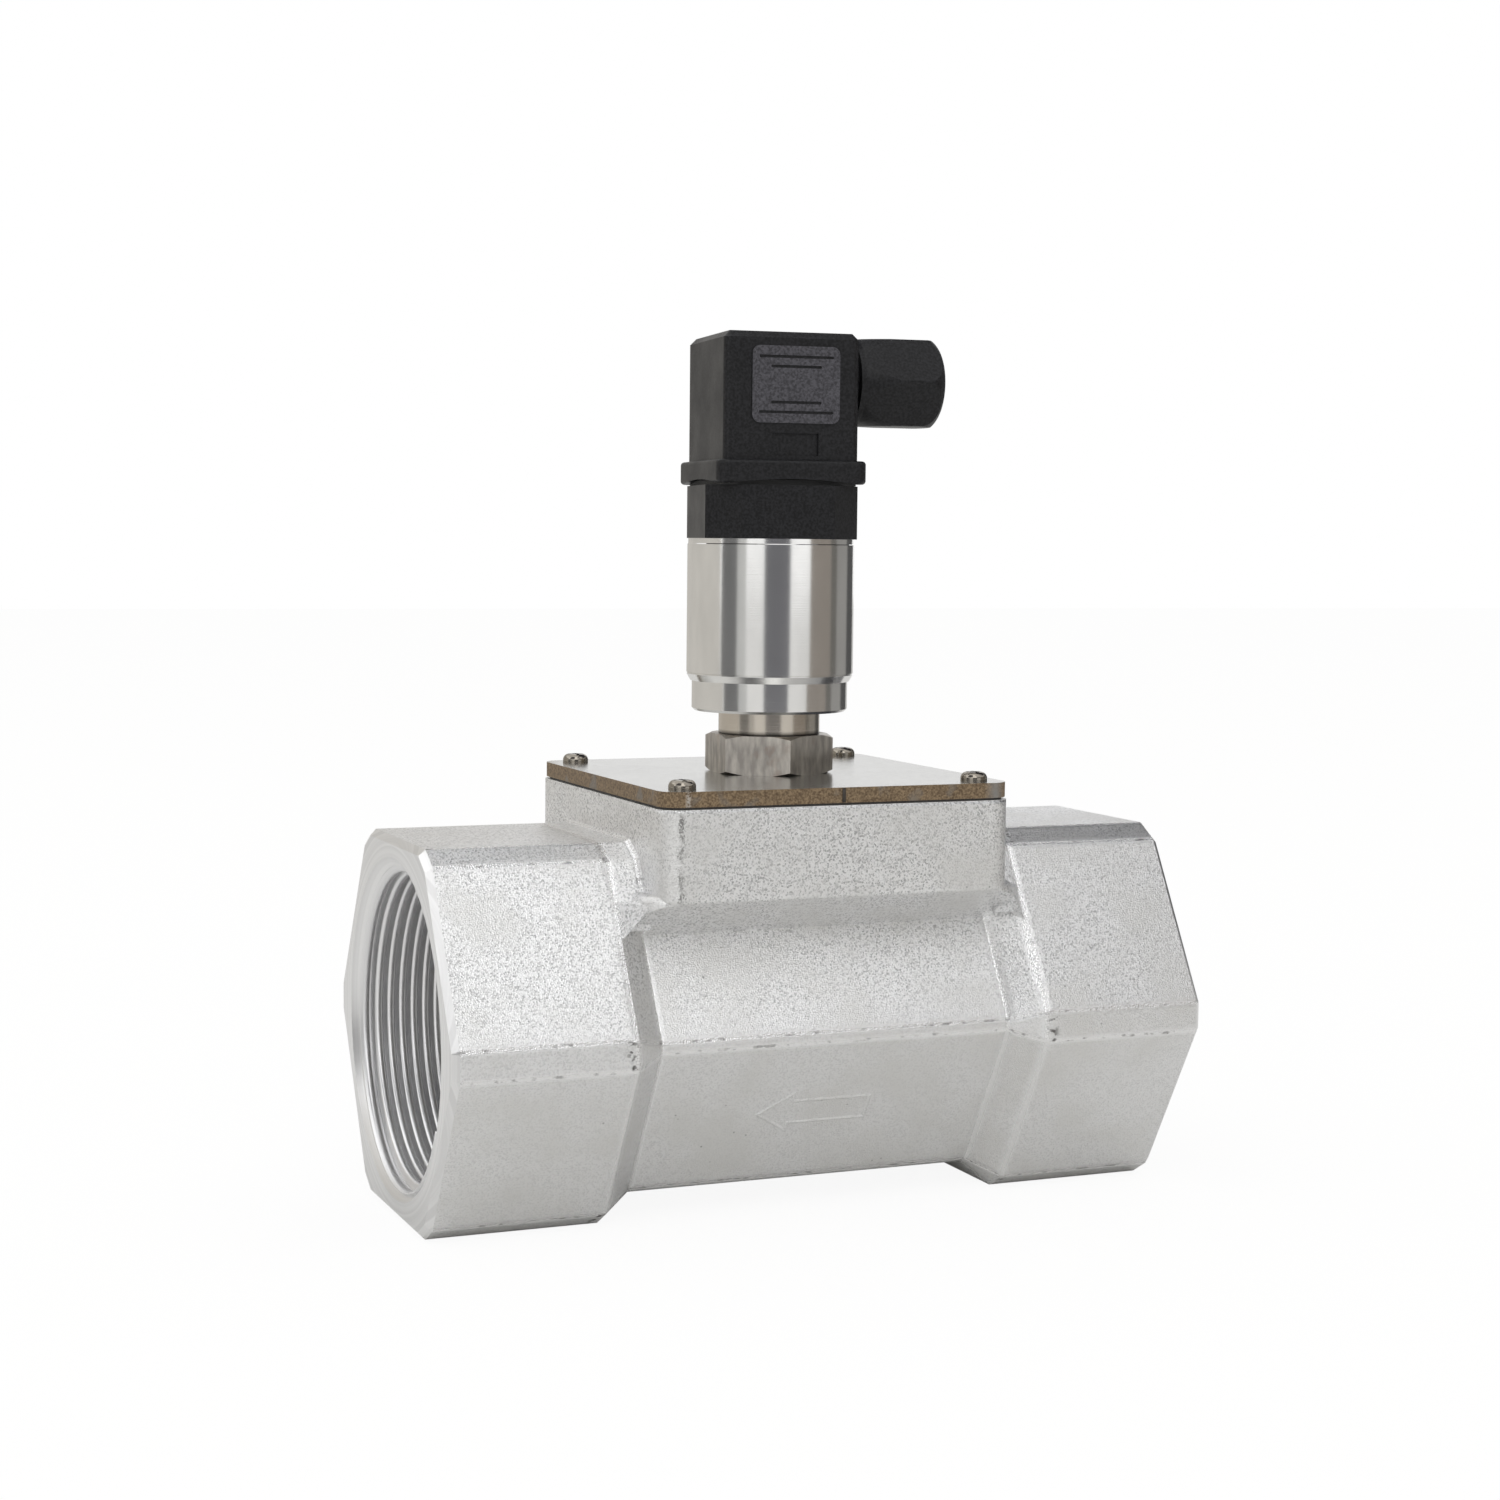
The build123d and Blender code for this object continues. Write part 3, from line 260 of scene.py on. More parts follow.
def on_top_corners(tree, point):
    # 1 on the flats of the ends' upper corners
    along, aside, half, outside = round_the_corner(tree, point)
    flat = calculate(tree, "LESS_THAN", aside, half)
    at_end = calculate(tree, "GREATER_THAN", along, END_START)
    above = calculate(tree, "GREATER_THAN", split(tree, point)[2], PIPE_Z + END_FLATS * 0.35)
    flat_at_end = calculate(tree, "MULTIPLY", flat, at_end)
    return calculate(tree, "MULTIPLY", flat_at_end, calculate(tree, "MULTIPLY", above, outside))


end_width = 2 * corner_half(END_FLATS, END_CORNERS) / MM
middle_width = 2 * corner_half(MIDDLE_FLATS, MIDDLE_CORNERS) / MM
print("Blunted corners:", round(end_width, 1), "mm at the ends,", round(middle_width, 1), "mm in the middle")

# %% [markdown]
# ## Sand cast aluminium
#
# The body leaves its mould with a skin like fine sandpaper. It sparkles where it mirrors the edge of a lamp
# and looks softer where it mirrors the even floor. A photograph of a casting would repeat. Here the small
# cells of a Voronoi pattern make the grains: their shape tilts the surface, and a random shade for each
# keeps some grain where the mirrored studio is even. A broad noise stands for the uneven mould wall.
# Tumbling polishes the edges, and a bump rounds them and breaks the upper edge of the boss. The edges are
# also painted lighter, partly for that polish and partly as a painted highlight. The ends' upper corners are
# linished, so their bump runs along the pipe. Pits and dark scuffs are few: the scuffs keep to the edges of
# the corners, where they are partly painted shade, and one row of pits follows a flaw in the mould.

# %% Cast skin
FLAW_X = -31.3 * MM
ARCH_Z = 58.4 * MM
CRYSTAL = 0.28 * MM
SAND_GRAIN = 0.6 * MM
MOULD_CLOUD = 13 * MM
SCUFF_GRAIN = 1.3 * MM
PIT_SPACING = 2.6 * MM


def scuffs_and_edge_shade(tree, point):
    # Short dark rubs along the edges of the corners, partly scuffs and partly painted shade, and chips where
    # an end's corners meet its shoulder
    rubbed = noise(tree, stretch(tree, point, (0.6, 1, 1)), SCUFF_GRAIN, detail=3.0)
    rubs_and_edge_shade = calculate(tree, "MULTIPLY", on_corner_edges(tree, point, 0.36 * MM),
                     blend_range(tree, rubbed, 0.55, 0.65, 0, 0.55))
    along, aside, half, outside = round_the_corner(tree, point)
    on_band = calculate(tree, "MULTIPLY", outside, calculate(tree, "LESS_THAN", aside, half))
    chipped = calculate(tree, "MULTIPLY", on_band, near(tree, along, END_START + 1.2 * MM, 1.5 * MM))
    chips = calculate(tree, "MULTIPLY", chipped, blend_range(tree, rubbed, 0.55, 0.60, 0, 1))
    return calculate(tree, "MAXIMUM", rubs_and_edge_shade, chips)


def pits(tree, point):
    # The middles of a few cells, and more of them along the flaw at the boss's left front edge
    few = blend_range(tree, cells(tree, point, PIT_SPACING)[0], 0.04, 0.10, 1, 0)
    picked = blend_range(tree, noise(tree, point, 14 * MM, detail=1.0), 0.60, 0.66, 0, 0.6)
    x, y, z = split(tree, point)
    flaw = calculate(tree, "MULTIPLY", near(tree, x, FLAW_X, 2.6 * MM), near(tree, y, -BOSS_HALF, 1.5 * MM))
    open_sand = noise(tree, stretch(tree, point, (1, 1, 0.7)), 0.34 * MM, detail=2.0)
    many = blend_range(tree, calculate(tree, "MULTIPLY", flaw, open_sand), 0.40, 0.52, 0, 0.75)
    patchy = blend_range(tree, noise(tree, point, 2.4 * MM, detail=1.0), 0.40, 0.58, 0.15, 1)
    row = calculate(tree, "MULTIPLY", many, patchy)
    return calculate(tree, "MAXIMUM", calculate(tree, "MULTIPLY", few, picked), row)


def worn_and_highlit_edges(tree, point):
    # Where tumbling polishes first, and where highlights are painted: the corners, the shoulders and the
    # lips beside the boss
    x, y, z = split(tree, point)
    along = calculate(tree, "ABSOLUTE", x)
    lip = calculate(tree, "MULTIPLY", near(tree, along, BOSS_HALF + 0.6 * MM, 0.45 * MM),
                    blend_range(tree, z, ARCH_Z + 4 * MM, ARCH_Z + 5 * MM, 0, 1))
    corners = on_corner_edges(tree, point, 0.8 * MM)
    bends = calculate(tree, "MAXIMUM", corners, on_shoulder_edges(tree, point, 1.2 * MM))
    return calculate(tree, "MAXIMUM", lip, bends)


def cast_skin(name, tint, grain_depth):
    material, tree, shader, point = start_finish(name, tint, 0.36, metallic=1.0)
    grains, shades = cells(tree, point, CRYSTAL)
    sand = noise(tree, point, SAND_GRAIN, detail=2.0)
    cloud = noise(tree, point, MOULD_CLOUD, detail=2.5)
    worn_and_highlit = worn_and_highlit_edges(tree, point)
    marks_and_edge_shade = calculate(tree, "MAXIMUM", pits(tree, point), scuffs_and_edge_shade(tree, point))

    # Most crystals are bright and a few are dark. The contrast is full on the upper faces and weaker on the
    # lower
    # ones: the grain is real, and its stronger sparkle on top is painted light
    dark, light = (tuple(share * channel for channel in tint) for share in (0.56, 1.12))
    sandy = mix_colours(tree, blend_range(tree, shades, 0.1, 0.55, 0, 1), dark, light)
    sparkle_on_upper_faces = blend_range(tree, split(tree, point)[2], PIPE_Z + 1 * MM, PIPE_Z + 7 * MM, 0.3, 1)
    colour = mix_colours(tree, sparkle_on_upper_faces, tint, sandy)
    warm = tuple(share * channel for share, channel in zip((0.93, 0.925, 0.905), tint))
    colour = mix_colours(tree, blend_range(tree, cloud, 0.42, 0.68, 0, 0.7), colour, warm)
    # Painted highlight: the edges are lifted towards white, partly for real polish and partly for light
    # caught on them
    colour = mix_colours(tree, calculate(tree, "MULTIPLY", worn_and_highlit, 0.6), colour, (0.97, 0.97, 0.97))
    # The dark marks are real pits, scuffs and chips, plus painted shade along the corners' edges
    tree.links.new(mix_colours(tree, marks_and_edge_shade, colour, (0.15, 0.145, 0.14)), shader.inputs["Base Color"])
    matt = blend_range(tree, cloud, 0.3, 0.7, 0.33, 0.39)
    tree.links.new(calculate(tree, "SUBTRACT", matt, calculate(tree, "MULTIPLY", worn_and_highlit, 0.14)),
                   shader.inputs["Roughness"])

    streaks = noise(tree, stretch(tree, point, (0.06, 1, 1)), 0.5 * MM, detail=2.0)
    streaks = calculate(tree, "SUBTRACT", streaks, 0.5)
    linished = calculate(tree, "MULTIPLY", streaks, on_top_corners(tree, point))
    uneven = add_bump(tree, shader, cloud, 0.2 * MM, 0.5)
    brushed = add_bump(tree, shader, linished, 0.1 * MM, 1.0, under=uneven)
    rolling = add_bump(tree, shader, sand, 0.35 * grain_depth, 1.0, under=brushed)
    grainy = add_bump(tree, shader, grains, grain_depth, 1.0, under=rolling)
    rounded = add_bump(tree, shader, calculate(tree, "SUBTRACT", 1.0, worn_and_highlit), 0.12 * MM, 1.0, under=grainy)
    rim = near(tree, split(tree, point)[2], body_high.z, 0.6 * MM)
    broken = add_bump(tree, shader, calculate(tree, "SUBTRACT", 1.0, rim), 0.45 * MM, 1.0, under=rounded)
    add_bump(tree, shader, calculate(tree, "SUBTRACT", 1.0, marks_and_edge_shade), 0.1 * MM, 1.0, under=broken)
    return material


cast_aluminium = cast_skin("cast aluminium skin", (0.86, 0.86, 0.86), 0.08 * MM)
print("Made", cast_aluminium.name)

# %% [markdown]
# ## Faces cut on a lathe
#
# The ends and the threads of the casting are cut, which leaves rings round the pipe's axis. Rings are noise
# that only knows one number, the distance from the axis. The tool marks also stretch highlights across
# themselves, so the shader is anisotropic, and its tangent is the direction in which the tool ran: the axis
# crossed with the arm from the axis to the point.

# %% Machined aluminium
def rings(tree, distance, pitch):
    # Noise in one dimension: rings about one pitch wide
    node = add_node(tree, "ShaderNodeTexNoise", noise_dimensions="1D")
    tree.links.new(calculate(tree, "MULTIPLY", distance, 1 / pitch), node.inputs["W"])
    node.inputs["Scale"].default_value = 1
    node.inputs["Detail"].default_value = 2
    return node.outputs["Fac"]


def run_round_pipe(tree, shader, arm):
    cross = add_node(tree, "ShaderNodeVectorMath", operation="CROSS_PRODUCT")
    cross.inputs[0].default_value = (1, 0, 0)
    tree.links.new(arm, cross.inputs[1])
    tree.links.new(cross.outputs[0], shader.inputs["Tangent"])


def machined_skin(name, tint, roughness, ring_depth):
    material, tree, shader, point = start_finish(name, tint, roughness, metallic=1.0)
    shader.inputs["Anisotropic"].default_value = 0.55
    arm, distance = from_pipe_axis(tree, point)
    run_round_pipe(tree, shader, arm)
    fine = rings(tree, distance, 0.22 * MM)
    coarse = rings(tree, distance, 1.1 * MM)
    dark = tuple(0.88 * channel for channel in tint)
    colour = mix_colours(tree, blend_range(tree, coarse, 0.35, 0.65, 0, 1), dark, tint)
    tree.links.new(colour, shader.inputs["Base Color"])
    add_bump(tree, shader, fine, ring_depth)
    return material


machined_face = machined_skin("machined aluminium face", (0.93, 0.93, 0.93), 0.30, 0.010 * MM)
machined_thread = machined_skin("cut aluminium thread", (0.95, 0.95, 0.955), 0.34, 0.004 * MM)
print("Made", machined_face.name, "and", machined_thread.name)

# %% [markdown]
# ## Putting finishes on the casting
#
# One casting carries several finishes, so its faces are sorted. A face belongs to the machined end if it
# looks along the pipe at the very end or lies on the bevel round it, and to the ports if it lies within the
# thread's radius of the axis. The rest is cast skin. Sorting by place and direction works on any mesh of
# the same part, whatever the order of its faces.

# %% Sort the body's faces
PORT_RADIUS = 31.5 * MM
PORT_START = 45.5 * MM
END_BEVEL = 1.2 * MM


def finish_faces(node, materials, choose):
    # choose gets the middle and the direction of a face and says which finish it takes
    mesh = nodes[node].data
    mesh.materials.clear()
    for material in materials:
        mesh.materials.append(material)
    counts = [0] * len(materials)
    for face in mesh.polygons:
        face.material_index = choose(face.center, face.normal)
        counts[face.material_index] += 1
    print(node, "faces per finish:", counts)


def body_finish(middle, direction):
    from_axis = hypot(middle.y, middle.z - PIPE_Z)
    at_end = abs(middle.x) > BODY_HALF - END_BEVEL and from_axis > PORT_RADIUS - END_BEVEL
    if at_end and abs(direction.x) > 0.5:
        return 1
    if from_axis < PORT_RADIUS and abs(middle.x) > PORT_START:
        return 2
    return 0


finish_faces("flow_body", (cast_aluminium, machined_face, machined_thread), body_finish)

# %% [markdown]
# ## The pipe thread
#
# The CAD model has a smooth bore at the thread's outer radius, because a helix is heavy to check. The
# ridges that a pipe screws into are made here. A screw modifier would do, but a thread has to fade out
# where the tool leaves the metal, so the ridge is built point by point: it goes round the axis, moves along
# by one pitch a turn, and each step places the same short profile of the ridge. Its foot lies just inside
# the wall of the bore.

# %% Thread ridges
THREAD_PITCH = 25.4 * MM / 11
THREAD_MAJOR = 29.8 * MM
THREAD_DEPTH = 1.45 * MM
THREAD_START = 46.2 * MM
THREAD_END = 72.6 * MM
FOOT_SINK = 0.08 * MM
STEPS_PER_TURN = 96
FADE_TURNS = 0.8

# Profile across one ridge: share of the pitch, and share of the depth
RIDGE_PROFILE = ((-0.5, 0.0), (-0.43, 0.12), (-0.33, 0.62), (-0.2, 0.94), (0.0, 1.0),
                 (0.2, 0.94), (0.33, 0.62), (0.43, 0.12), (0.5, 0.0))


def skin_rings(bm, ring_points):
    # Joins closed rings of points into a tube and closes its two ends
    rows = [[bm.verts.new(point) for point in ring] for ring in ring_points]
    for row, after in zip(rows, rows[1:]):
        for index in range(len(row)):
            following = (index + 1) % len(row)
            bm.faces.new((row[index], row[following], after[following], after[index]))
    bm.faces.new(rows[0][::-1])
    bm.faces.new(rows[-1])


def finish_piece(bm, name, material, body, smooth=True):
    # Turns the mesh's faces outwards and makes it a piece that rides on a body
    bmesh.ops.recalc_face_normals(bm, faces=bm.faces)
    for face in bm.faces:
        face.smooth = smooth
    mesh = bpy.data.meshes.new(name)
    bm.to_mesh(mesh)
    bm.free()
    mesh.materials.append(material)
    piece = bpy.data.objects.new(name, mesh)
    bpy.context.scene.collection.objects.link(piece)
    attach(piece, body)
    return piece


def thread_ring(turn, side):
    # Points of the ridge's profile, this many turns from its start
    turns = (THREAD_END - THREAD_START) / THREAD_PITCH
    fade = min(1.0, turn / FADE_TURNS, (turns - turn) / FADE_TURNS)
    angle = 2 * pi * turn * side
    middle_x = THREAD_START + turn * THREAD_PITCH
    foot = THREAD_MAJOR + FOOT_SINK
    points = []
    for along, rise in RIDGE_PROFILE:
        radius = foot - FOOT_SINK - max(0.0, fade) * rise * THREAD_DEPTH
        points.append((radius, middle_x + along * THREAD_PITCH))
    points.append((foot + FOOT_SINK, middle_x + RIDGE_PROFILE[-1][0] * THREAD_PITCH))
    points.append((foot + FOOT_SINK, middle_x + RIDGE_PROFILE[0][0] * THREAD_PITCH))
    return [Vector((side * x, radius * cos(angle), PIPE_Z + radius * sin(angle))) for radius, x in points]


def port_thread(side):
    turns = (THREAD_END - THREAD_START) / THREAD_PITCH
    steps = int(turns * STEPS_PER_TURN)
    bm = bmesh.new()
    skin_rings(bm, [thread_ring(step / STEPS_PER_TURN, side) for step in range(steps + 1)])
    name = "outlet_thread" if side < 0 else "inlet_thread"
    finish_piece(bm, name, machined_thread, "housing")
    print(name, "has", round(turns, 1), "turns of", round(THREAD_PITCH / MM, 2), "mm")


for side in (-1, 1):
    port_thread(side)

# %% [markdown]
# ## The flow arrow
#
# The mould has an arrow scratched into it, so the casting carries it as a low ridge on the lower front
# face. It is drawn flat first, as an outline of points along the pipe and down the slope, and then each
# stretch of it becomes a low bar with sloping sides that is let into the face. A separate low bar is
# cleaner than a cut into the casting's mesh, which must stay as it is.

# %% Arrow ridge
SLOPE = radians(30)
SLOPE_OUT = Vector((0, -cos(SLOPE), -sin(SLOPE)))
SLOPE_DOWN = Vector((0, sin(SLOPE), -cos(SLOPE)))
ARROW_TIP_X = -12.6 * MM
ARROW_HEAD_X = -6.2 * MM
ARROW_END_X = 9.5 * MM
ARROW_MIDDLE = 17.5 * MM      # down the slope from the middle of the corner
ARROW_SHAFT_HALF = 2.6 * MM
ARROW_HEAD_HALF = 4.4 * MM
LINE_FOOT = 0.8 * MM
LINE_TOP = 0.2 * MM
LINE_RISE = 0.16 * MM
LINE_SINK = 0.12 * MM


def on_slope(x, down, out):
    # A point on the middle's lower front face, raised out of it
    foot = Vector((x, -MIDDLE_FLATS / 2 / cos(SLOPE), PIPE_Z))
    return foot + SLOPE_DOWN * down + SLOPE_OUT * out


def arrow_outline():
    low = ARROW_MIDDLE + ARROW_SHAFT_HALF
    high = ARROW_MIDDLE - ARROW_SHAFT_HALF
    return [
        (ARROW_TIP_X, ARROW_MIDDLE),
        (ARROW_HEAD_X, ARROW_MIDDLE - ARROW_HEAD_HALF),
        (ARROW_HEAD_X, high),
        (ARROW_END_X, high),
        (ARROW_END_X, low),
        (ARROW_HEAD_X, low),
        (ARROW_HEAD_X, ARROW_MIDDLE + ARROW_HEAD_HALF),
    ]


def offset_outline(outline, amount):
    # The closed outline moved sideways, with mitred corners
    moved = []
    for index, (x, down) in enumerate(outline):
        before = Vector(outline[index - 1])
        here = Vector((x, down))
        after = Vector(outline[(index + 1) % len(outline)])
        arriving = (here - before).normalized()
        leaving = (after - here).normalized()
        normal = Vector((arriving.y + leaving.y, -arriving.x - leaving.x)).normalized()
        reach = amount / max(0.35, normal.dot(Vector((arriving.y, -arriving.x))))
        moved.append(here + normal * reach)
    return moved


def flow_arrow():
    outline = arrow_outline()
    profile = ((-LINE_FOOT / 2, -LINE_SINK), (-LINE_FOOT / 2, 0), (-LINE_TOP / 2, LINE_RISE),
               (LINE_TOP / 2, LINE_RISE), (LINE_FOOT / 2, 0), (LINE_FOOT / 2, -LINE_SINK))
    loops = [offset_outline(outline, aside) for aside, height in profile]
    bm = bmesh.new()
    corners = []
    for index in range(len(outline)):
        ring = [on_slope(*loop[index], height) for loop, (aside, height) in zip(loops, profile)]
        corners.append([bm.verts.new(point) for point in ring])
    for index, row in enumerate(corners):
        after = corners[(index + 1) % len(corners)]
        for place in range(len(row)):
            following = (place + 1) % len(row)
            bm.faces.new((row[place], row[following], after[following], after[place]))
    return finish_piece(bm, "flow_arrow", cast_aluminium, "housing", smooth=False)


flow_arrow()
print("Arrow is", round((ARROW_END_X - ARROW_TIP_X) / MM, 1), "mm long and rises", LINE_RISE / MM, "mm")

# %% [markdown]
# ## Webs at the shoulders
#
# Where an end of the casting meets the boss, the real mould leaves no corner: sand would crumble there, so
# the pattern maker fills it. Each corner gets two fillers. One closes the arch at the end's inner edge,
# flush with the end's slope, and the other leads from that slope to the rounded end of the ledge under the
# boss. A convex hull of a few points on those curves is the shortest way to such a filler, and it is always
# a closed mesh.

# %% Shoulder webs
ARCH_RADIUS = 5.8 * MM
ARCH_X = END_START - ARCH_RADIUS
LEDGE_END = 37.3 * MM
LEDGE_CORNER = Vector((LEDGE_END - 5 * MM, 28.5 * MM))
LEDGE_Z = 60.2 * MM
WEB_SINK = 0.12 * MM
WEB_ROOT_Y = 20 * MM
SOFT_EDGE = radians(28)


def on_end_slope(x, z):
    # A point on an end's upper slanting face, sunk a little
    reach = END_FLATS / 2 - WEB_SINK - (z - PIPE_Z) * sin(SLOPE)
    return Vector((x, reach / cos(SLOPE), z))


def arch_filler():
    # Flush with the end's slope, between the arch and the boss
    reach = ARCH_RADIUS + WEB_SINK
    front = [on_end_slope(ARCH_X + reach * cos(radians(turn)), ARCH_Z + reach * sin(radians(turn)))
             for turn in range(0, 91, 6)]
    front += [on_end_slope(BOSS_HALF - 0.2 * MM, ARCH_Z + rise) for rise in (-3 * MM, ARCH_RADIUS)]
    front.append(on_end_slope(END_START, ARCH_Z - 3 * MM))
    back = [Vector((point.x, WEB_ROOT_Y, point.z)) for point in front]
    return front + back


def ledge_filler():
    # From the end's slope to the rounded end of the ledge
    points = [on_end_slope(END_START, ARCH_Z + rise * MM) for rise in (1.8, 0, -1.6, -3.2, -4.6)]
    for turn in range(0, 46, 9):
        out = Vector((cos(radians(turn)), sin(radians(turn)))) * (LEDGE_END - LEDGE_CORNER.x - 0.05 * MM)
        points.append(Vector((*(LEDGE_CORNER + out), LEDGE_Z + 0.05 * MM)))
    for drop, depth in ((-0.6 * MM, 0), (3.3 * MM, 0), (5.0 * MM, 3.0 * MM)):
        points.append(Vector((LEDGE_END - 0.1 * MM, LEDGE_CORNER.y - depth, LEDGE_Z - drop)))
    points.append(Vector((MIDDLE_HALF, WEB_ROOT_Y, ARCH_Z)))
    points.append(Vector((END_START, WEB_ROOT_Y + 2 * MM, ARCH_Z)))
    return points


def shoulder_webs():
    bm = bmesh.new()
    for end, face, points in product((-1, 1), (-1, 1), (arch_filler(), ledge_filler())):
        corners = [bm.verts.new((end * point.x, face * point.y, point.z)) for point in points]
        hull = bmesh.ops.convex_hull(bm, input=corners)
        inside = {item for item in hull["geom_interior"] + hull["geom_unused"]
                  if isinstance(item, bmesh.types.BMVert)}
        bmesh.ops.delete(bm, geom=list(inside), context="VERTS")
    for edge in bm.edges:
        edge.smooth = edge.calc_face_angle() < SOFT_EDGE
    return finish_piece(bm, "shoulder_webs", cast_aluminium, "housing")


webs = shoulder_webs()
print("Webs have", len(webs.data.polygons), "faces")

# %% [markdown]
# ## Steel sheet
#
# The cover is cold rolled stainless sheet: satin on top, with a faint grain one way, so it mirrors the nut
# that stands on it as a soft grey patch. Its edge was cut hot and never cleaned, which leaves a brown,
# speckled skin. Two finishes on one node show both, sorted by direction: faces that look sideways are edge.

# %% Cover plate
RUBBED_X = 31 * MM
DRIBBLE_X = -30 * MM


def satin_sheet(name, tint, roughness):
    material, tree, shader, point = start_finish(name, tint, roughness, metallic=1.0)
    grain = noise(tree, stretch(tree, point, (1, 14, 1)), 1.6 * MM, detail=3.0)
    smear = noise(tree, point, 16 * MM, detail=2.0)
    dark = tuple(0.92 * channel for channel in tint)
    tree.links.new(mix_colours(tree, blend_range(tree, smear, 0.35, 0.7, 0, 1), dark, tint),
                   shader.inputs["Base Color"])
    tree.links.new(blend_range(tree, grain, 0.3, 0.7, roughness - 0.04, roughness + 0.07),
                   shader.inputs["Roughness"])
    add_bump(tree, shader, grain, 0.004 * MM)
    return material


def browned_edge(name):
    material, tree, shader, point = start_finish(name, (0.21, 0.145, 0.082), 0.55, metallic=0.35)
    speck = noise(tree, point, 0.35 * MM, detail=3.0)
    patch = noise(tree, point, 5 * MM, detail=2.0)
    dark, light = (0.115, 0.075, 0.042), (0.30, 0.215, 0.125)
    tan = mix_colours(tree, blend_range(tree, speck, 0.34, 0.66, 0, 1), dark, light)
    grey = mix_colours(tree, blend_range(tree, patch, 0.58, 0.68, 0, 0.6), tan, (0.20, 0.19, 0.175))
    x, y, z = split(tree, point)
    on_front = near(tree, y, plate_low.y, 3 * MM)
    rubbed = calculate(tree, "MULTIPLY", near(tree, x, RUBBED_X, 2.4 * MM), on_front)
    bare = mix_colours(tree, calculate(tree, "MULTIPLY", rubbed, 0.8), grey, (0.27, 0.26, 0.245))
    streaky = blend_range(tree, speck, 0.4, 0.6, 0, 0.7)
    dribble = calculate(tree, "MULTIPLY", near(tree, x, DRIBBLE_X, 0.7 * MM), streaky)
    tree.links.new(mix_colours(tree, dribble, bare, (0.55, 0.53, 0.50)), shader.inputs["Base Color"])
    add_bump(tree, shader, speck, 0.06 * MM)
    return material


plate_satin = satin_sheet("satin steel sheet", (0.54, 0.537, 0.52), 0.20)
plate_edge = browned_edge("browned sheet edge")


def plate_finish(middle, direction):
    return 1 if abs(direction.z) < 0.7 and hypot(middle.x, middle.y) > 20 * MM else 0


finish_faces("cover_plate", (plate_satin, plate_edge), plate_finish)

# %% [markdown]
# ## Turned and stained steel
#
# The can and the stem are turned, so their tool marks run round the upright axis. Round parts mirror the
# studio in upright bands, and the marks smear those bands up and down but hardly sideways. That is what an
# anisotropic shader with a radial tangent does. The lock nut is the odd one out: dull and stained, a piece
# that has been handled.

# %% Turned steel
def turned_steel(name, tint, roughness, joint_shade=0.0):
    # A dark ring is painted on the neck where it meets its nut: painted shade in the joint between the two
    # parts
    material, tree, shader, point = start_finish(name, tint, roughness, metallic=1.0)
    shader.inputs["Anisotropic"].default_value = 0.6
    tangent = add_node(tree, "ShaderNodeTangent", direction_type="RADIAL", axis="Z")
    tree.links.new(tangent.outputs["Tangent"], shader.inputs["Tangent"])
    height = add_node(tree, "ShaderNodeSeparateXYZ")
    tree.links.new(point, height.inputs[0])
    fine = rings(tree, height.outputs["Z"], 0.16 * MM)
    smear = noise(tree, stretch(tree, point, (1, 1, 0.35)), 5 * MM, detail=2.0)
    dark = tuple(0.92 * channel for channel in tint)
    clean = mix_colours(tree, blend_range(tree, smear, 0.35, 0.65, 0, 1), dark, tint)
    # Painted shade: the neck turns dark within 0.9 mm of the top of the nut
    joint_shade_ring = calculate(tree, "MULTIPLY", near(tree, height.outputs["Z"], nut_high.z, 0.9 * MM), joint_shade)
    tree.links.new(mix_colours(tree, joint_shade_ring, clean, (0.03, 0.027, 0.024)), shader.inputs["Base Color"])
    tree.links.new(blend_range(tree, fine, 0.3, 0.7, roughness - 0.02, roughness + 0.04),
                   shader.inputs["Roughness"])
    add_bump(tree, shader, fine, 0.0015 * MM)
    return material


def stained_steel(name):
    tint = (0.49, 0.46, 0.42)
    material, tree, shader, point = start_finish(name, tint, 0.36, metallic=1.0)
    streak = noise(tree, stretch(tree, point, (1, 1, 0.3)), 1.3 * MM, detail=3.0)
    stain = noise(tree, point, 4.5 * MM, detail=3.0)
    dark, light, brown = (0.36, 0.335, 0.31), (0.62, 0.585, 0.53), (0.36, 0.27, 0.22)
    base = mix_colours(tree, blend_range(tree, streak, 0.35, 0.7, 0, 1), dark, light)
    tree.links.new(mix_colours(tree, blend_range(tree, stain, 0.55, 0.7, 0, 0.55), base, brown),
                   shader.inputs["Base Color"])
    tree.links.new(blend_range(tree, stain, 0.3, 0.7, 0.30, 0.46), shader.inputs["Roughness"])
    add_bump(tree, shader, streak, 0.01 * MM)
    return material


can_steel = turned_steel("turned steel", (0.93, 0.925, 0.91), 0.11)
neck_steel = turned_steel("browned neck steel", (0.68, 0.625, 0.55), 0.15, joint_shade=1.0)
nut_steel = stained_steel("stained nut steel")


collar_low = sleeve_low.z - 7 * MM


def stem_finish(middle, direction):
    return 1 if middle.z < collar_low - 0.1 * MM else 0


finish_faces("probe_stem", (can_steel, neck_steel), stem_finish)

# %% [markdown]
# ## Black plastic
#
# The plug and the connector base are moulded in black nylon. Up close such a moulding is not flat black:
# the mould is spark eroded, so it has a very fine grain, and glass fibres near the skin make the gloss
# patchy. The panel on the plug's front is eroded more coarsely and looks grey, because each tiny dimple
# catches some light.

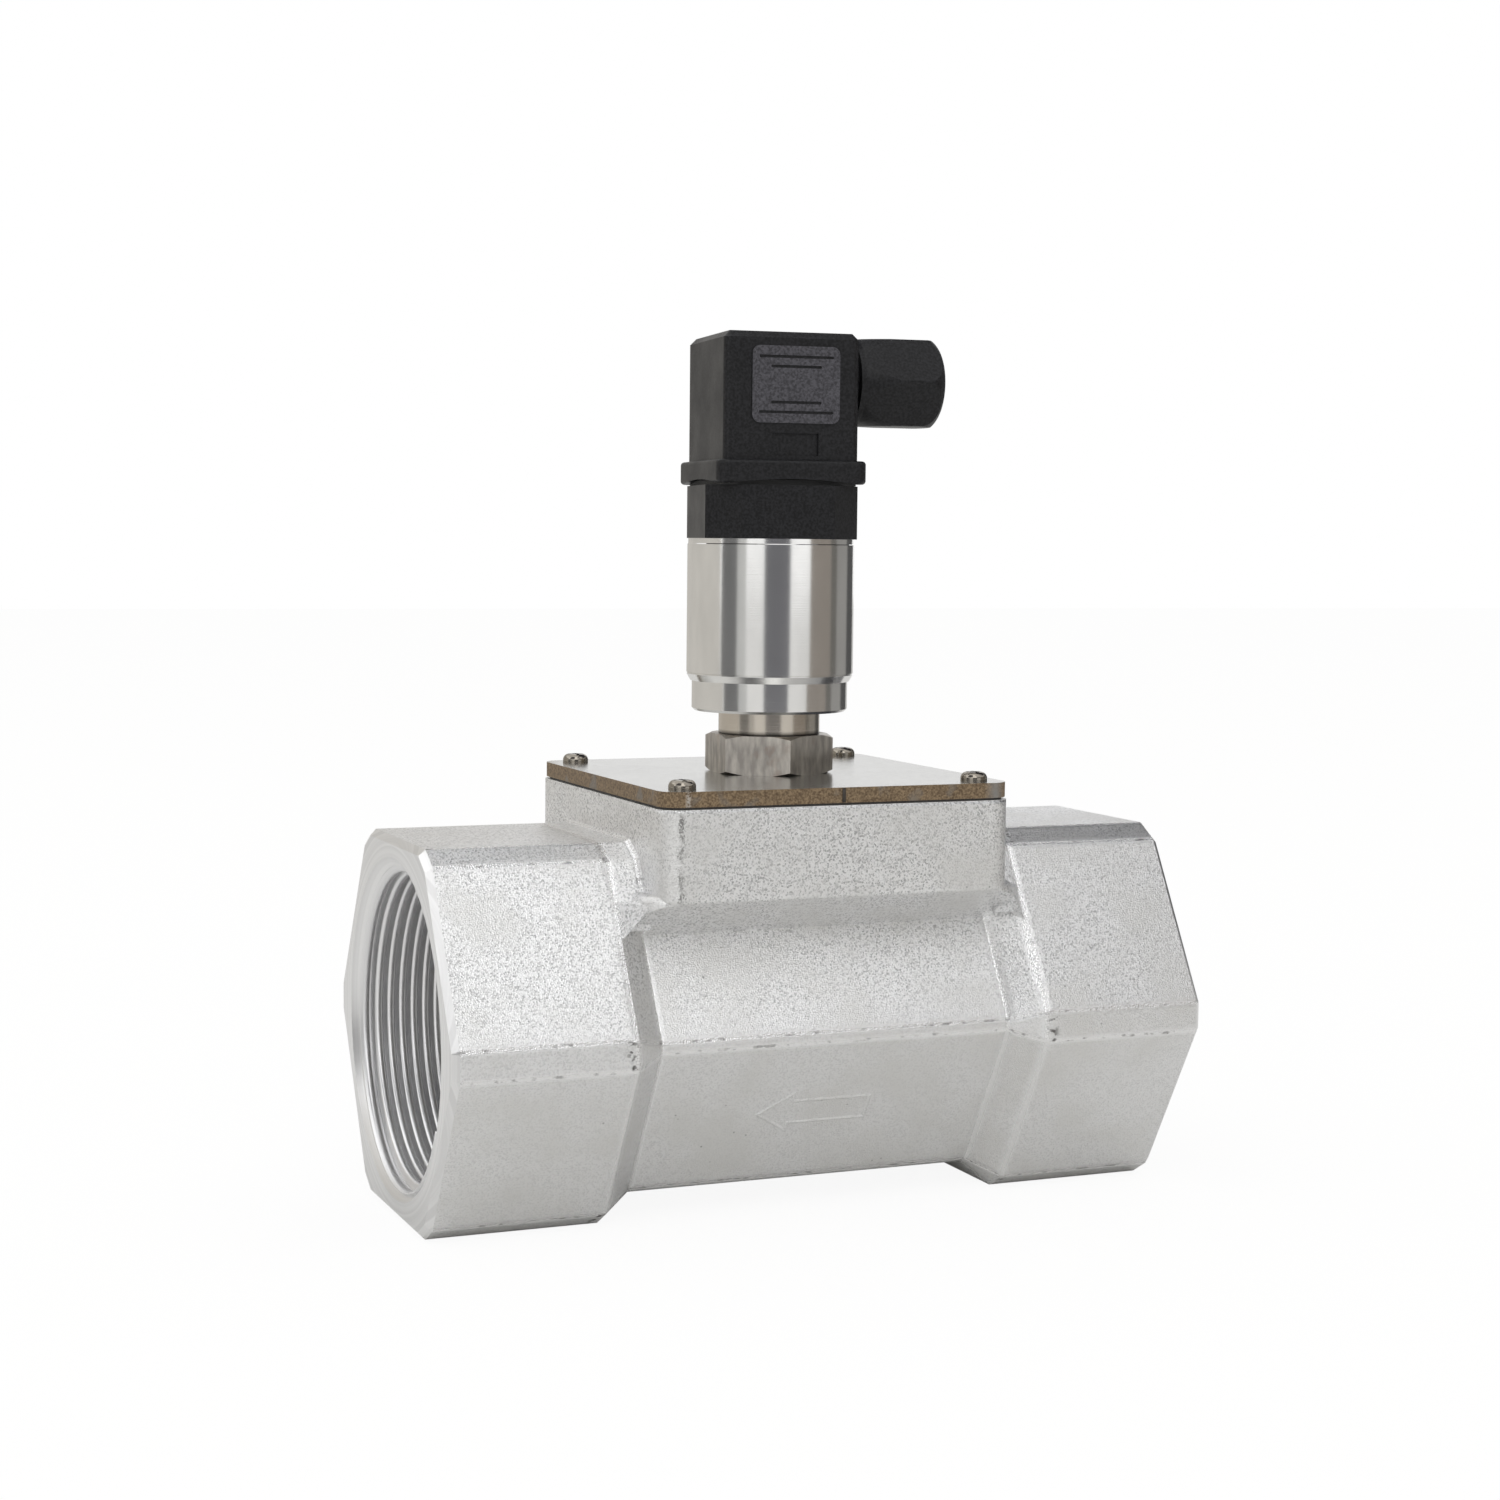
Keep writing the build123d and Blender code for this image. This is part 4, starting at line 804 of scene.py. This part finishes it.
# %% Moulded plastic
def moulded(name, tint, roughness, grain, depth, specular=0.4, speckle=0.12):
    material, tree, shader, point = start_finish(name, tint, roughness)
    shader.inputs["Specular IOR Level"].default_value = specular
    fine = noise(tree, point, grain, detail=3.0)
    patch = noise(tree, point, 7 * MM, detail=2.0)
    dark, light = (tuple(share * channel for channel in tint) for share in (1 - speckle, 1 + speckle))
    tree.links.new(mix_colours(tree, blend_range(tree, fine, 0.38, 0.62, 0, 1), dark, light),
                   shader.inputs["Base Color"])
    tree.links.new(blend_range(tree, patch, 0.3, 0.7, roughness - 0.05, roughness + 0.06),
                   shader.inputs["Roughness"])
    add_bump(tree, shader, fine, depth)
    return material


black_plastic = moulded("black moulded plastic", (0.0115, 0.0115, 0.013), 0.38, 0.45 * MM, 0.02 * MM,
                        specular=0.27, speckle=0.5)
panel_plastic = moulded("coarse panel plastic", (0.066, 0.064, 0.073), 0.60, 0.5 * MM, 0.28 * MM,
                        specular=0.25, speckle=0.35)

head_out = Vector((sin(HEAD_TURN), -cos(HEAD_TURN), 0))
PLUG_FRONT = 26.2 * MM / 2
PANEL_RISE = 0.3 * MM


def plug_finish(middle, direction):
    # The raised panel is the only flat that stands this far in front of the plug's body
    is_front = direction.dot(head_out) > 0.9 and middle.z > plug_low.z + 8 * MM
    return 1 if is_front and middle.dot(head_out) > PLUG_FRONT + PANEL_RISE / 2 else 0


finish_faces("plug_housing", (black_plastic, panel_plastic), plug_finish)

# %% [markdown]
# ## The smaller finishes
#
# Everything else is either plain metal, plastic or rubber, and most of it is inside, where it shows once
# the plug is pulled or the camera looks into a port. Each still gets a finish of its own, made by one of
# the functions above or by a short one here, so that nothing looks unfinished when the part is taken apart.

# %% Small metal and rubber finishes
def plain_metal(name, tint, roughness, grain=0.5 * MM):
    material, tree, shader, point = start_finish(name, tint, roughness, metallic=1.0)
    scuff = noise(tree, point, grain, detail=2.0)
    dark = tuple(0.85 * channel for channel in tint)
    tree.links.new(mix_colours(tree, blend_range(tree, scuff, 0.35, 0.65, 0, 1), dark, tint),
                   shader.inputs["Base Color"])
    tree.links.new(blend_range(tree, scuff, 0.3, 0.7, roughness - 0.04, roughness + 0.06),
                   shader.inputs["Roughness"])
    add_bump(tree, shader, scuff, 0.004 * MM)
    return material


def rubber(name, tint):
    material, tree, shader, point = start_finish(name, tint, 0.6)
    dust = noise(tree, point, 0.3 * MM, detail=2.0)
    tree.links.new(blend_range(tree, dust, 0.3, 0.7, 0.52, 0.7), shader.inputs["Roughness"])
    light = tuple(1.5 * channel for channel in tint)
    tree.links.new(mix_colours(tree, blend_range(tree, dust, 0.4, 0.7, 0, 1), tint, light),
                   shader.inputs["Base Color"])
    add_bump(tree, shader, dust, 0.008 * MM)
    return material


screw_steel = plain_metal("bright screw steel", (0.38, 0.345, 0.295), 0.11)
bracket_steel = plain_metal("bracket sheet steel", (0.62, 0.62, 0.61), 0.30)
brass = plain_metal("brass insert", (0.74, 0.56, 0.27), 0.26)
tinned = plain_metal("tinned contact", (0.72, 0.72, 0.69), 0.28)
magnet_plate = plain_metal("nickel plated magnet", (0.64, 0.62, 0.58), 0.18)
seal_rubber = rubber("seal rubber", (0.022, 0.022, 0.022))
gasket_sheet = rubber("gasket sheet", (0.05, 0.046, 0.042))
block_plastic = moulded("terminal block plastic", (0.06, 0.06, 0.062), 0.42, 0.4 * MM, 0.01 * MM)
wheel_plastic = moulded("natural wheel plastic", (0.62, 0.61, 0.56), 0.38, 0.5 * MM, 0.01 * MM)
bush_plastic = moulded("bearing plastic", (0.14, 0.095, 0.06), 0.36, 0.3 * MM, 0.006 * MM)
board_green = moulded("board lacquer", (0.012, 0.10, 0.04), 0.3, 0.8 * MM, 0.006 * MM)
lead_sheath = moulded("lead sheath", (0.33, 0.02, 0.015), 0.4, 0.5 * MM, 0.004 * MM)

FINISH_OF_SLOT = {
    "turned_steel": can_steel, "nut_steel": nut_steel, "screw_steel": screw_steel,
    "bracket_steel": bracket_steel, "black_plastic": black_plastic, "block_plastic": block_plastic,
    "seal_rubber": seal_rubber, "gasket_sheet": gasket_sheet, "brass": brass, "tinned_contact": tinned,
    "wheel_plastic": wheel_plastic, "bush_plastic": bush_plastic, "magnet": magnet_plate,
    "board_green": board_green, "lead_sheath": lead_sheath,
}
SORTED_ALREADY = ("flow_body", "cover_plate", "plug_housing", "probe_stem")

for part in frame["record"]["subparts"]:
    if part["node"] not in SORTED_ALREADY:
        mesh = nodes[part["node"]].data
        mesh.materials.clear()
        mesh.materials.append(FINISH_OF_SLOT[part["material_slot"]])
print("Finishes in use:", len({m.name for node in nodes.values() for m in node.data.materials}))

# %% [markdown]
# ## The seam on the cover's edge
#
# The cover was cut out in one run, and where the cut began and ended a thin burr is left on the front edge.
# It is a small bead, as tall as the sheet is thick. A half round prism does it.

# %% Seam on the edge
SEAM_X = 0.1 * MM
SEAM_RADIUS = 0.35 * MM
SEAM_FLATTEN = 0.55
SEAM_SIDES = 10


def edge_seam():
    bm = bmesh.new()
    outline = [(SEAM_RADIUS * cos(pi * step / SEAM_SIDES), SEAM_RADIUS * sin(pi * step / SEAM_SIDES))
               for step in range(SEAM_SIDES + 1)]
    levels = (plate_low.z + 0.1 * MM, plate_high.z - 0.1 * MM)
    skin_rings(bm, [[Vector((SEAM_X + x, plate_low.y - SEAM_FLATTEN * out, z)) for x, out in outline]
                    for z in levels])
    return finish_piece(bm, "plate_seam", seam_dark, "housing")


seam_dark = rubber("burnt seam", (0.035, 0.028, 0.022))
edge_seam()
print("Seam stands at x =", round(SEAM_X / MM, 1), "mm")

# %% [markdown]
# ## The studio
#
# The sensor stands on a pale floor in soft light. The background is white to the camera and to mirrors, and
# only three quarters of it lights the object, which keeps the metal from washing out. The floor is a plain
# pale surface, but the camera sees most of it as an even glow, so that it meets the white background
# without a line and still holds the object's soft shadow.

# %% Floor and world
WORLD_LIGHT = 0.75
FLOOR_SIZE = 8.0
FLOOR_COLOUR = (0.765, 0.76, 0.745)
FLOOR_GLOW = 0.88
FLOOR_WHITE = 1.04


def pale_world():
    world = bpy.data.worlds.new("studio")
    bpy.context.scene.world = world
    world.use_nodes = True
    tree = world.node_tree
    background = tree.nodes["Background"]
    path = add_node(tree, "ShaderNodeLightPath")
    seen = calculate(tree, "MAXIMUM", path.outputs["Is Camera Ray"], path.outputs["Is Glossy Ray"])
    seen = calculate(tree, "MAXIMUM", seen, path.outputs["Is Transmission Ray"])
    strength = blend_range(tree, seen, 0, 1, WORLD_LIGHT, 1.0)
    tree.links.new(strength, background.inputs["Strength"])
    background.inputs["Color"].default_value = (1, 1, 1, 1)


def pale_floor():
    material, tree, shader, point = start_finish("pale floor", FLOOR_COLOUR, 0.9)
    shader.inputs["Specular IOR Level"].default_value = 0.0
    glow = add_node(tree, "ShaderNodeEmission")
    glow.inputs["Color"].default_value = (1, 1, 1, 1)
    glow.inputs["Strength"].default_value = FLOOR_WHITE
    path = add_node(tree, "ShaderNodeLightPath")
    share = calculate(tree, "MULTIPLY", path.outputs["Is Camera Ray"], FLOOR_GLOW)
    mix = add_node(tree, "ShaderNodeMixShader")
    tree.links.new(share, mix.inputs[0])
    tree.links.new(shader.outputs[0], mix.inputs[1])
    tree.links.new(glow.outputs[0], mix.inputs[2])
    tree.links.new(mix.outputs[0], tree.nodes["Material Output"].inputs["Surface"])
    mesh = bpy.data.meshes.new("floor")
    half = FLOOR_SIZE / 2
    corners = [(-half, -half, 0), (half, -half, 0), (half, half, 0), (-half, half, 0)]
    mesh.from_pydata(corners, [], [(0, 1, 2, 3)])
    mesh.materials.append(material)
    floor = bpy.data.objects.new("floor", mesh)
    bpy.context.scene.collection.objects.link(floor)


pale_world()
pale_floor()
print("World lights at", WORLD_LIGHT)

# %% [markdown]
# ## Lamps and boards
#
# A large soft lamp hangs in front and above, and a weaker one stands at the back left. An area lamp is
# aimed by turning its own -Z axis towards the object. Turned steel shows whatever stands round it, so a
# photographer sets dark and grey boards round the object to give it shape. The boards here are seen by
# mirrors only and cast no shadow. Each is placed by the angle at which it stands, counted from the camera
# to its right, because that is how one would move it in a studio.

# %% Lamps
def soft_lamp(name, place, size, power):
    lamp = bpy.data.lights.new(name, "AREA")
    lamp.shape = "SQUARE"
    lamp.size = size
    lamp.energy = power
    holder = bpy.data.objects.new(name, lamp)
    holder.location = place
    aim = Vector((0, 0, 0.06)) - Vector(place)
    holder.rotation_euler = aim.to_track_quat("-Z", "Y").to_euler()
    bpy.context.scene.collection.objects.link(holder)
    print(name, "at", [round(value, 2) for value in place])


soft_lamp("front lamp", (-0.5, -1.3, 1.5), 2.0, 10.0)
soft_lamp("left lamp", (-1.5, 0.4, 0.8), 1.6, 3.0)

# %% Boards
CAMERA_PLACE = Vector((-0.1955, -0.4556, 0.1245))
CAMERA_ANGLE = atan2(CAMERA_PLACE.y, CAMERA_PLACE.x)
BOARD_DISTANCE = 0.8
BOARD_CENTRE = Vector((0, 0, 0.05))


def board(name, angles, heights, shade):
    # A curved board between two angles and two heights in degrees, seen in mirrors only
    material = bpy.data.materials.new(name)
    material.use_nodes = True
    tree = material.node_tree
    tree.nodes.remove(tree.nodes["Principled BSDF"])
    glow = add_node(tree, "ShaderNodeEmission")
    glow.inputs["Color"].default_value = (*shade, 1)
    tree.links.new(glow.outputs[0], tree.nodes["Material Output"].inputs["Surface"])
    steps = 12
    points = []
    for step in range(steps + 1):
        angle = CAMERA_ANGLE + radians(angles[0] + (angles[1] - angles[0]) * step / steps)
        for height in (radians(heights[0]), radians(heights[1])):
            reach = Vector((cos(height) * cos(angle), cos(height) * sin(angle), sin(height)))
            points.append(BOARD_CENTRE + reach * BOARD_DISTANCE)
    faces = [(2 * step, 2 * step + 2, 2 * step + 3, 2 * step + 1) for step in range(steps)]
    mesh = bpy.data.meshes.new(name)
    mesh.from_pydata(points, [], faces)
    mesh.materials.append(material)
    piece = bpy.data.objects.new(name, mesh)
    piece.visible_camera = False
    piece.visible_diffuse = False
    piece.visible_shadow = False
    piece.visible_transmission = False
    bpy.context.scene.collection.objects.link(piece)


BOARDS = (
    ("grey board far left", (-172, -72), (-3, 32), (0.54, 0.52, 0.485)),
    ("dark board left", (-70, -46), (-3, 16), (0.15, 0.15, 0.15)),
    ("grey board left", (-46, -33), (-3, 16), (0.50, 0.50, 0.49)),
    ("dark board behind the camera", (-8, 27), (-3, 16), (0.145, 0.145, 0.155)),
    ("grey board over the right", (26, 56), (9, 30), (0.42, 0.42, 0.42)),
    ("grey board right", (56, 91), (-3, 24), (0.25, 0.225, 0.20)),
    ("dark board right", (91, 103), (-3, 24), (0.14, 0.135, 0.125)),
    ("grey board behind right", (103, 130), (-3, 30), (0.27, 0.265, 0.255)),
    ("dark board behind right", (130, 156), (-3, 30), (0.08, 0.08, 0.08)),
    ("high dark board behind", (100, 185), (32, 74), (0.06, 0.06, 0.07)),
    ("high grey board right", (76, 100), (32, 64), (0.60, 0.60, 0.61)),
    ("high pale board ahead", (22, 76), (32, 66), (0.86, 0.86, 0.865)),
    ("high dark board left", (-58, -10), (26, 66), (0.14, 0.14, 0.15)),
)
for name, angles, heights, shade in BOARDS:
    board(name, angles, heights, shade)
print("Boards:", len(BOARDS))

# %% [markdown]
# ## The camera
#
# The photograph was taken from half a metre away, a little above the sensor and to its left. Its place,
# heading and lens were worked out from the outline of the casting, whose sizes are known. The three turns
# are applied in the order in which a tripod makes them: heading, pitch, and a slight roll.

# %% Camera
HEADING = radians(22.81)
PITCH = radians(4.61)
ROLL = radians(0.59)
LENS = 62.07

camera_data = bpy.data.cameras.new("camera")
camera_data.lens = LENS
camera_data.sensor_width = 36
camera = bpy.data.objects.new("camera", camera_data)
camera.matrix_world = (Matrix.Translation(CAMERA_PLACE) @ Matrix.Rotation(-HEADING, 4, "Z")
                       @ Matrix.Rotation(pi / 2 - PITCH, 4, "X") @ Matrix.Rotation(ROLL, 4, "Z"))
bpy.context.scene.collection.objects.link(camera)
bpy.context.scene.camera = camera
bpy.context.scene.view_settings.view_transform = "Standard"
print("Camera at", [round(value, 3) for value in CAMERA_PLACE])
